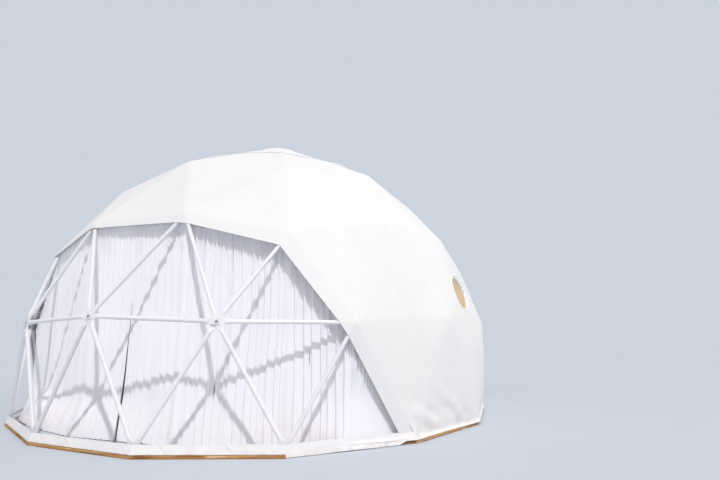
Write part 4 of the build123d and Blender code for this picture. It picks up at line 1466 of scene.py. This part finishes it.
class Pleats:
    """Irregular sawtooth folds: long faces that turn in to the right, with short steep backs."""

    def __init__(self, seed, width):
        draw = random.Random(seed)
        self.seed = seed
        self.layers = [self.marks(draw, width, pitch) for pitch in (0.040, 0.082, 0.34)]

    def marks(self, draw, width, pitch):
        spots = [-pitch]
        levels = [1.0]
        while spots[-1] < width + pitch * 2.0:
            wide = pitch * draw.uniform(0.62, 1.5)
            spots.append(spots[-1] + wide * PLEAT_FACE)
            levels.append(-draw.uniform(0.5, 1.0))
            spots.append(spots[-1] + wide * (1.0 - PLEAT_FACE))
            levels.append(draw.uniform(0.5, 1.0))
        return spots, levels

    def wave(self, layer, run):
        spots, levels = self.layers[layer]
        for k in range(len(spots) - 1):
            if run < spots[k + 1]:
                share = max(0.0, (run - spots[k]) / (spots[k + 1] - spots[k]))
                share = 0.55 * share + 0.45 * share * share * (3.0 - 2.0 * share)
                return mix(levels[k], levels[k + 1], share)
        return 0.0

    def depth(self, run, below, drop):
        """Offset at a distance below the heading; drop is the cloth's whole length there."""
        drift = 0.045 * ripple_at(run * 1.3, below * 0.8, self.seed, 0.3) * smooth_step(0.1, 1.2, below)
        reach = 0.5 + 0.5 * ripple_at(run * 4.0, 0.0, self.seed, 7.3)
        alive = 0.85 + 0.7 * ripple_at(run * 2.2, below * 0.7, self.seed, 2.2)
        fine = 0.026 * (1.0 - smooth_step(0.10 + 0.2 * reach, 0.42 + 0.3 * reach, below))
        deep = 0.033 * smooth_step(0.06, 0.50, below) * max(0.35, alive)
        deep *= 1.0 - 0.25 * smooth_step(0.5, 1.0, below / max(drop, 0.05))
        broad = 0.010 * smooth_step(0.35, 1.6, below)
        total = fine * self.wave(0, run + drift * 0.3)
        total += deep * self.wave(1, run + drift)
        total += broad * self.wave(2, run + drift * 1.6)
        return (total - 0.35 * (fine + deep)) * smooth_step(0.0, 0.05, below)


CURTAIN_COLUMN = 0.004
CURTAIN_ROWS = 46
CURTAIN_TRIM = 0.10


class Parting:
    """Place where the cloth is open: drift is how far it wanders from its low to its high end."""

    def __init__(self, run, low, high, width, drift=0.0, kick=0.0):
        self.run = run
        self.low = low
        self.high = high
        self.width = width
        self.drift = drift
        self.kick = kick

    def pull(self, z, away):
        """How far cloth at a distance from the parting is drawn back."""
        if not self.low <= z <= self.high:
            return 0.0
        share = (z - self.low) / (self.high - self.low)
        return self.width / 2.0 * math.sin(math.pi * share) ** 0.75 * (1.0 - smooth_step(0.0, 0.05, away))

    def wander(self, z, away):
        share = min(1.0, max(0.0, z / self.high))
        moved = self.drift * share + self.kick * (1.0 - smooth_step(0.0, 0.45, z))
        return moved * (1.0 - smooth_step(0.0, 0.25, away))


def curtain_offset(track, pleats, run, z, below, drop):
    """How far the cloth stands out from the rail's line, toward the window."""
    top, out, lean, foot_out = track.at(run)
    end = min(run, track.runs[-1] - run)
    calm = smooth_step(0.0, 0.07, end) * smooth_step(0.0, 0.55, drop)
    sway = ripple_at(run * 1.1, z * 1.3, pleats.seed, 4.4) * smooth_step(0.2, 1.2, below)
    offset = pleats.depth(run, below, drop) * calm
    offset += HEADING_OUT * (1.0 - smooth_step(0.04, 0.16, below))
    offset += lean * (1.0 - smooth_step(0.15, 1.2, below)) - WAIST_IN * smooth_step(0.3, 1.3, below)
    offset += foot_out * smooth_step(FOOT_RISE, 0.0, z)
    offset += 0.012 * calm * sway
    if z < CURTAIN_GUIDE:
        past = over_board(Vector((top.x, top.y, 0.0)) + out * offset) - CURTAIN_PAST
        offset -= max(0.0, past) * smooth_step(CURTAIN_GUIDE, FOOT_RISE, z)
    return offset


def curtain_point(track, pleats, run, share, foot, partings, ends):
    """Spot on a curtain: share is 0 at the heading and 1 at the foot."""
    top, out, lean, foot_out = track.at(run)
    high = top.z + HEADING_RISE
    drop = max(0.03, high - foot)
    below = drop * share ** 0.9
    z = high - below
    offset = curtain_offset(track, pleats, run, z, below, drop)
    start, stop, opens_left, opens_right = ends
    shift = 0.0
    if opens_left:
        shift += opens_left.pull(z, run - start)
    if opens_right:
        shift -= opens_right.pull(z, stop - run)
    for parting in partings:
        shift += parting.wander(z, abs(run - parting.run))
    return Vector((top.x, top.y, z)) + out * offset + UP.cross(out) * shift


def over_board(spot):
    """How far a spot lies past the inner edge of the boards."""
    best = -9.0
    for one, other in BASE_SPANS:
        middle = one.point + other.point
        out = Vector((middle.x, middle.y, 0)).normalized()
        best = max(best, out.dot(spot) - out.dot(one.point) + BOARD_IN)
    return best


def curtain_foot(track, run, seed):
    """Height of the hem: just over the floor, or over the boards where the cloth reaches them."""
    top, out, lean, foot_out = track.at(run)
    past = over_board(top + out * (foot_out + 0.012 - WAIST_IN))
    share = smooth_step(-0.05, -0.01, past)
    return mix(CURTAIN_FOOT, CURTAIN_OVER_BOARD, share) + 0.005 * ripple_at(run * 7.0, 0.0, seed, 1.1)


def build_curtain(name, hubs, seed, partings=()):
    """One curtain; the slanting rim leaves the end ones a share of their flat size."""
    track = Track(hubs)
    width = track.runs[-1]
    start_trim = CURTAIN_TRIM if hubs[0].row == 0 else 0.0
    stop_trim = CURTAIN_TRIM if hubs[-1].row == 0 else 0.0
    pleats = Pleats(seed, width)
    marks = [(start_trim, None)] + [(parting.run, parting) for parting in partings]
    marks.append((width - stop_trim, None))
    shares = [r / CURTAIN_ROWS for r in range(CURTAIN_ROWS + 1)]
    shape = Shape()
    for (start, left), (stop, right) in zip(marks, marks[1:]):
        columns = max(6, round((stop - start) / CURTAIN_COLUMN))
        ends = (start, stop, left, right)
        grid = []
        for c in range(columns + 1):
            run = start + (stop - start) * c / columns
            foot = curtain_foot(track, run, seed)
            grid.append([curtain_point(track, pleats, run, share, foot, partings, ends) for share in shares])
        shape.loft(grid, closed=False)
    piece = shape.piece(name + "_cloth", PAINTS["curtain"], "curtain_cloth", [name], crease=180.0)


def build_curtains():
    hubs = RIM_HUBS
    gap = Parting(0.668, -0.9, 1.60, 0.036, 0.032, 0.052)
    build_curtain("curtain_far_left", hubs[0:3], 3)
    build_curtain("curtain_left", hubs[2:4], 5)
    build_curtain("curtain_middle", hubs[3:5], 8, [gap])
    build_curtain("curtain_right", hubs[4:6], 13, [Parting(0.45, 0.49, 0.68, 0.010)])
    build_curtain("curtain_far_right", hubs[5:8], 21, [Parting(0.27, 0.88, 1.01, 0.008)])


def build_rail():
    """Round rail that follows the rim, with flat straps up to the struts."""
    shape = Shape()
    for one, other in zip(RIM_HUBS, RIM_HUBS[1:]):
        start, stop = rail_mark(one), rail_mark(other)
        along = (stop - start).normalized()
        start += along * (RAIL_STOP if one.row == 0 else RAIL_CLEAR)
        stop -= along * (RAIL_STOP if other.row == 0 else RAIL_CLEAR)
        tube(shape, start, stop, RAIL_RADIUS, 14, tone=0.4)
        strut = (other.point - one.point).normalized()
        for share in HANGER_PLACES:
            hold = mix(start, stop, share)
            above = one.point + strut * strut.dot(hold - one.point)
            reach = (above - hold).normalized()
            face = strut.cross(reach).normalized()
            low = hold + reach * (RAIL_RADIUS - 0.001)
            high = above - reach * (TUBE_RADIUS - 0.001)
            ring = oblong(strut * HANGER_HALF[0], face * HANGER_HALF[1])
            shape.loft([[low + spot for spot in ring], [high + spot for spot in ring]], tone=0.6)
    shape.piece("curtain_rail_tube", PAINTS["steel"], "frame_steel", ["curtain_rail"], crease=50.0, tidy=True)


# Portholes: a moulded ring with a raised crest and a recessed tan pane, whose colour holds painted reflection
# and painted shade

PORT_SCREWS = 12
PORT_SCREW_CIRCLE = 0.292
PORT_SCREW_HEAD = [(0.0035, 0.004), (0.0035, 0.0070), (0.0022, 0.0078)]
PORT_DEEP = 0.016
PORT_RING = [(PORT_RING_OUT, -PORT_DEEP), (PORT_RING_OUT, 0.0030), (0.296, 0.0050), (0.288, 0.0060),
             (0.285, 0.011), (0.280, 0.0165), (0.273, 0.0185), (0.266, 0.0175), (0.261, 0.013),
             (0.256, 0.008), (0.246, 0.0060), (PORT_RING_IN, 0.004), (PORT_RING_IN, -PORT_DEEP)]
PORT_PANE = [(PORT_RING_IN + 0.006, -0.004), (0.22, -0.003), (0.16, -0.0022), (0.09, -0.0016),
             (0.02, -0.0014)]


def port_places():
    """Middle and outward direction of each porthole, right side first."""
    band = [facet for facet in COVER_FACETS if sorted(hub.row for hub in facet) == [1, 1, 2]]
    found = []
    for bearing in (PORT_BEARING, -PORT_BEARING):
        facet = min(band, key=lambda item: bearing_gap(bearing_of(facet_middle(item)), bearing))
        normal = facet_normal(facet)
        middle = facet_middle(facet)
        found.append((middle + normal * (SKIN_LIFT + billow(middle)), normal))
    return found


def build_ports():
    rings = Shape()
    panes = Shape()
    for centre, normal in port_places():
        side, other = axes_for(normal)
        loops = [ring_of(centre + normal * height, side, other, radius, 96) for radius, height in PORT_RING]
        rings.loft(loops + [loops[0]], caps=False)
        turned_profile(panes, centre, normal, PORT_PANE, 72)
        half_step = math.pi / PORT_SCREWS
        for spot in ring_of(centre, side, other, PORT_SCREW_CIRCLE, PORT_SCREWS, half_step):
            turned_profile(rings, spot, normal, PORT_SCREW_HEAD, 10)
    rings.piece("porthole_frames", PAINTS["plastic"], "port_ring", ["porthole_rings"], crease=50.0, tidy=True)
    panes.piece("porthole_glazing", PAINTS["pane"], "port_pane", ["porthole_panes"], crease=60.0)


# Rain cap over the crown, drawn in at its rim. Its rises and puckers along the rim are
# (bearing, width in degrees, height), and its puffs (bearing, tilt from the zenith, height).

CAP_COLUMNS = 320
CAP_BULGE = 0.06
CAP_LIP = 0.0010
CAP_TURN_IN = 0.014
CAP_THICK = 0.0012
CAP_RISES = ((-8.0, 15.0, 0.020), (32.0, 18.0, 0.024))
CAP_PUFFS = ((27.5, 19.9, 0.016), (43.5, 20.6, 0.016))
CAP_PUFF_WIDE = 0.095
CAP_BASE_LIFT = 0.0020
CAP_PUCKERS = ((-7.0, 9.0, 0.028), (76.0, 11.0, 0.046), (32.0, 15.0, 0.006), (150.0, 12.0, 0.02),
               (222.0, 14.0, 0.024), (290.0, 10.0, 0.018))
CAP_ROWS = 34
CAP_RIM_ROWS = 12
CAP_RIM_SHARE = 0.024
EYELETS = 10
EYELET_FIRST = -5.4
EYELET_SPARE = 2.3
EYELET_IN = 0.048
# Profile of an eyelet; its inner end is a closed shallow cone across the hole, standing in for the shade
# inside the hole as painted shade.
EYELET = [(0.0135, -0.004), (0.0145, 0.0024), (0.0125, 0.0046), (0.0090, 0.0042), (0.0075, 0.0016)]


def crown_reach(way, lift):
    """Distance from the centre to the cover's facets over the crown."""
    best = 99.0
    for normal, reach in CROWN_PLANES:
        steep = normal.dot(way)
        if steep > 0.3:
            best = min(best, (reach + lift) / steep)
    return best


CROWN_PLANES = [(facet_normal(facet), facet_normal(facet).dot(facet[0].point - CENTRE))
                for facet in FACETS if min(hub.row for hub in facet) >= 3]


def rim_swell(bearing, swells):
    """Sum of humps along the rim, each (bearing, width in degrees, height)."""
    return sum(rise * hill(bearing_gap(bearing, middle), wide) for middle, wide, rise in swells)


def crown_way(bearing, turned):
    """Direction at a bearing, turned down from the zenith by an angle."""
    return direction(bearing) * math.sin(turned) + UP * math.cos(turned)


def crown_rim(bearing):
    """Angle from the zenith at which the cap's level rim lies."""
    low, high = 0.2, 0.8
    level = CAP_RIM + rim_swell(bearing, CAP_RISES)
    for _ in range(24):
        middle = (low + high) / 2.0
        way = crown_way(bearing, middle)
        if CENTRE.z + way.z * crown_reach(way, SKIN_LIFT) > level:
            low = middle
        else:
            high = middle
    return low


def cap_point(bearing, turned, short):
    """Spot on the cap; short is the distance up to the rim."""
    way = crown_way(bearing, turned)
    flat = crown_reach(way, SKIN_LIFT + CAP_BASE_LIFT)
    bow = max(0.0, FRAME_RADIUS + SKIN_LIFT + CAP_BASE_LIFT - flat) * CAP_BULGE
    bow *= 1.0 - 0.45 * smooth_step(0.55, 0.0, short)
    spot = way * flat
    lip = (CAP_LIP + rim_swell(bearing, CAP_PUCKERS)) * smooth_step(0.28, 0.03, short)
    draw = 0.0030 * ripple(spot, 11.0, 2.8) * smooth_step(0.26, 0.02, short)
    loose = 0.0020 * ripple(spot, 3.4, 8.1)
    for puff_bearing, tilt, rise in CAP_PUFFS:
        away = (way - crown_way(puff_bearing, math.radians(tilt))).length * FRAME_RADIUS
        loose += rise * hill(away, CAP_PUFF_WIDE)
    closed = smooth_step(0.0, CAP_TURN_IN, short) ** 0.5
    return CENTRE + way * (flat + (bow + lip + draw + loose) * closed)


def build_cap():
    shape = Shape()
    edges = [crown_rim(360.0 * k / CAP_COLUMNS) for k in range(CAP_COLUMNS)]
    shares = [i / CAP_ROWS for i in range(1, CAP_ROWS)]
    shares += [1.0 - CAP_RIM_SHARE * (1.0 - i / CAP_RIM_ROWS) for i in range(CAP_RIM_ROWS + 1)]
    rings = []
    for share in shares:
        ring = []
        for k, edge in enumerate(edges):
            short = (1.0 - share) * edge * FRAME_RADIUS
            ring.append(cap_point(360.0 * k / CAP_COLUMNS, edge * share, short))
        rings.append(ring)
    start = shape.loft(rings, caps=False, across=0.0)
    top = shape.add([cap_point(0.0, 0.0, 1.5)])
    for k in range(CAP_COLUMNS):
        shape.faces.append((start + (k + 1) % CAP_COLUMNS, start + k, top))
    piece = shape.piece("crown_cap_cloth", PAINTS["hem"], "cover_fabric", ["crown_cap"],
                        crease=180.0, tidy=True)
    thicken(piece, CAP_THICK, 1.0)
    build_eyelets()


def build_eyelets():
    shape = Shape()
    bearings = [EYELET_FIRST + 360.0 / EYELETS * k for k in range(EYELETS)] + [EYELET_SPARE]
    for bearing in bearings:
        seat = cap_point(bearing, crown_rim(bearing) - EYELET_IN / FRAME_RADIUS, EYELET_IN)
        turned_profile(shape, seat, (seat - CENTRE).normalized(), EYELET, 20)
    # The darker zinc over the closed hole is painted shade.
    shape.piece("cap_eyelets", PAINTS["bracket"], "bright_steel", crease=40.0, tidy=True)


# Doorway on the rear

STRAPS = (-0.36, 0.0, 0.36)
ROLL_TURNS = 3.2
ROLL_STEPS = 150
ROLL_COLUMNS = 80


def door_axes():
    left, right = DOOR_SILL
    across = (right.point - left.point).normalized()
    foot = (left.point + right.point) / 2.0
    head = (DOOR_HEAD[0].point + DOOR_HEAD[1].point) / 2.0
    up = (head - foot).normalized()
    out = across.cross(up)
    if out.dot(foot - CENTRE) < 0:
        out = -out
    return across, up, out, foot, head


def build_door_frame():
    across, up, out, foot, head = door_axes()
    shape = Shape()
    top = (head - foot).length - TUBE_RADIUS
    for sign in (-1, 1):
        line = foot + across * (sign * POST_LINE)
        low = line + up * ((BOARD_HIGH + 0.006 - line.z) / up.z)
        tube(shape, low, line + up * top, TUBE_RADIUS, 20, tone=0.3)
        seat = [(0.058, 0.0), (0.060, 0.001), (0.060, 0.0045), (0.058, 0.0055), (0.030, 0.0055)]
        plate = Vector((low.x, low.y, BOARD_HIGH + 0.0004))
        turned_profile(shape, plate, UP, seat, 28, tone=0.6)
    height = (DOOR_HIGH + TUBE_RADIUS - foot.z) / up.z
    middle = foot + up * height
    reach = POST_LINE - TUBE_RADIUS * 0.9
    tube(shape, middle - across * reach, middle + across * reach, TUBE_RADIUS, 20, tone=0.5)
    shape.piece("door_posts", PAINTS["steel"], "frame_steel", ["door_frame"], crease=40.0, tidy=True)


def meet(*planes):
    (n1, d1), (n2, d2), (n3, d3) = planes
    total = n2.cross(n3) * d1 + n3.cross(n1) * d2 + n1.cross(n2) * d3
    return total / n1.dot(n2.cross(n3))


def quad_cloth(shape, corners, normal, columns, rows, seed):
    """Slack cloth between four corners: low left, low right, high right, high left."""
    grid = []
    for i in range(rows + 1):
        row = []
        for k in range(columns + 1):
            low = mix(corners[0], corners[1], k / columns)
            high = mix(corners[3], corners[2], k / columns)
            spot = mix(low, high, i / rows)
            slack = math.sin(math.pi * k / columns) * math.sin(math.pi * i / rows)
            wave = 0.006 * slack * ripple(spot, 4.0, seed) + 0.0015 * ripple(spot, 13.0, seed)
            row.append(spot + normal * wave)
        grid.append(row)
    shape.loft(grid, closed=False, seam=SKIN_SEAM)


def edge_plane(low_hub, high_hub):
    """Plane through the dome's centre and two hubs."""
    normal = (low_hub.point - CENTRE).cross(high_hub.point - CENTRE).normalized()
    return normal, normal.dot(low_hub.point)


def build_door_wall():
    """Cloth at both sides of the doorway and above it, in one plane."""
    across, up, out, foot, head = door_axes()
    shape = Shape()
    face = (out, out.dot(foot) + SKIN_LIFT + 0.006)
    middle = across.dot(foot)
    bottom = (UP, BOARD_HIGH + 0.002)
    top = edge_plane(*DOOR_HEAD)
    lintel = (UP, DOOR_HIGH)
    left, right = [(across, middle + sign * DOOR_HALF) for sign in (-1, 1)]
    for sign, jamb, low_hub, high_hub in zip((-1, 1), (left, right), DOOR_SILL, DOOR_HEAD):
        side = edge_plane(low_hub, high_hub)
        pairs = ((bottom, side), (bottom, jamb), (top, jamb), (top, side))
        corners = [meet(face, level, end) for level, end in pairs]
        quad_cloth(shape, corners, out, 18, 60, 2.0 + sign)
    pairs = ((lintel, left), (lintel, right), (top, right), (top, left))
    corners = [meet(face, level, end) for level, end in pairs]
    quad_cloth(shape, corners, out, 34, 16, 6.0)
    piece = shape.piece("door_wall_cloth", PAINTS["cover"], "cover_fabric", ["door_wall"], crease=180.0)
    thicken(piece)


def build_door_returns():
    """The triangles of cover beside the doorway, which turn in to the door's plane."""
    facets = [ordered(hubs) for hubs in zip(DOOR_SILL, DOOR_SIDE, DOOR_HEAD)]
    skin = Skin(facets, 18, 0.008, False, SKIN_LIFT + 0.005)
    piece = skin.shape.piece("door_return_cloths", PAINTS["cover"], "cover_fabric", ["door_returns"],
                             crease=180.0)
    thicken(piece)


def roll_column(centre, run, axes):
    """Spiral section through the rolled flap, pinched where a strap goes round."""
    across, up, out = axes
    pinch = sum(0.008 * hill(run - strap, 0.045) for strap in STRAPS)
    column = []
    for k in range(ROLL_STEPS + 1):
        share = k / ROLL_STEPS
        turned = -0.5 * math.pi - 2.0 * math.pi * ROLL_TURNS * (1.0 - share)
        wave = 0.0018 * ripple_at(run * 5.0, math.cos(turned), math.sin(turned), 3.0)
        radius = max(0.008, 0.012 + (FLAP_RADIUS - 0.016) * share - pinch * share + wave * share)
        spot = centre + across * run + out * (radius * math.cos(turned))
        column.append(spot + up * (radius * math.sin(turned)))
    return column


def build_door_roll():
    """The door flap, rolled up and tied above the doorway."""
    across, up, out, foot, head = door_axes()
    height = (DOOR_HIGH - foot.z) / up.z + FLAP_RADIUS + 0.02
    centre = foot + up * height + out * (SKIN_LIFT + 0.008 + FLAP_RADIUS)
    half = DOOR_HALF + 0.06
    shape = Shape()
    runs = [-half + 2.0 * half * c / ROLL_COLUMNS for c in range(ROLL_COLUMNS + 1)]
    shape.loft([roll_column(centre, run, (across, up, out)) for run in runs], closed=False)
    piece = shape.piece("door_roll_cloth", PAINTS["skirt"], "cover_fabric", ["door_flap"],
                        crease=180.0, tidy=True)
    build_straps(centre, across, up, out)


def build_straps(centre, across, up, out):
    """Webbing straps round the rolled flap, each with a buckle in front."""
    shape = Shape()
    for spot in STRAPS:
        loops = []
        for edge, swell in ((-0.0125, 0.0), (-0.0125, 0.0018), (0.0125, 0.0018), (0.0125, 0.0)):
            middle = centre + across * (spot + edge)
            loops.append(ring_of(middle, out, up, FLAP_RADIUS - 0.0105 + swell, 40))
        shape.loft(loops + [loops[0]], caps=False)
        buckle = centre + across * spot + out * (FLAP_RADIUS - 0.006)
        for wide, tall, deep in ((0.019, 0.014, 0.003), (0.011, 0.007, 0.0045)):
            corners = oblong(across * wide, up * tall)
            low = [buckle + corner for corner in corners]
            high = [buckle + corner * 0.9 + out * deep for corner in corners]
            shape.loft([low, high])
    shape.piece("door_straps", PAINTS["webbing"], "cover_fabric", crease=35.0, tidy=True)


def build_all():
    build_struts()
    build_bolts()
    build_boards()
    build_brackets()
    build_rail()
    build_curtains()
    build_film()
    build_cover()
    build_hem()
    build_skirt()
    build_ports()
    build_cap()
    build_door_frame()
    build_door_wall()
    build_door_returns()
    build_door_roll()


bpy.context.scene.view_settings.view_transform = "Standard"
make_camera()
make_light()
make_sky()
make_floor()
build_all()
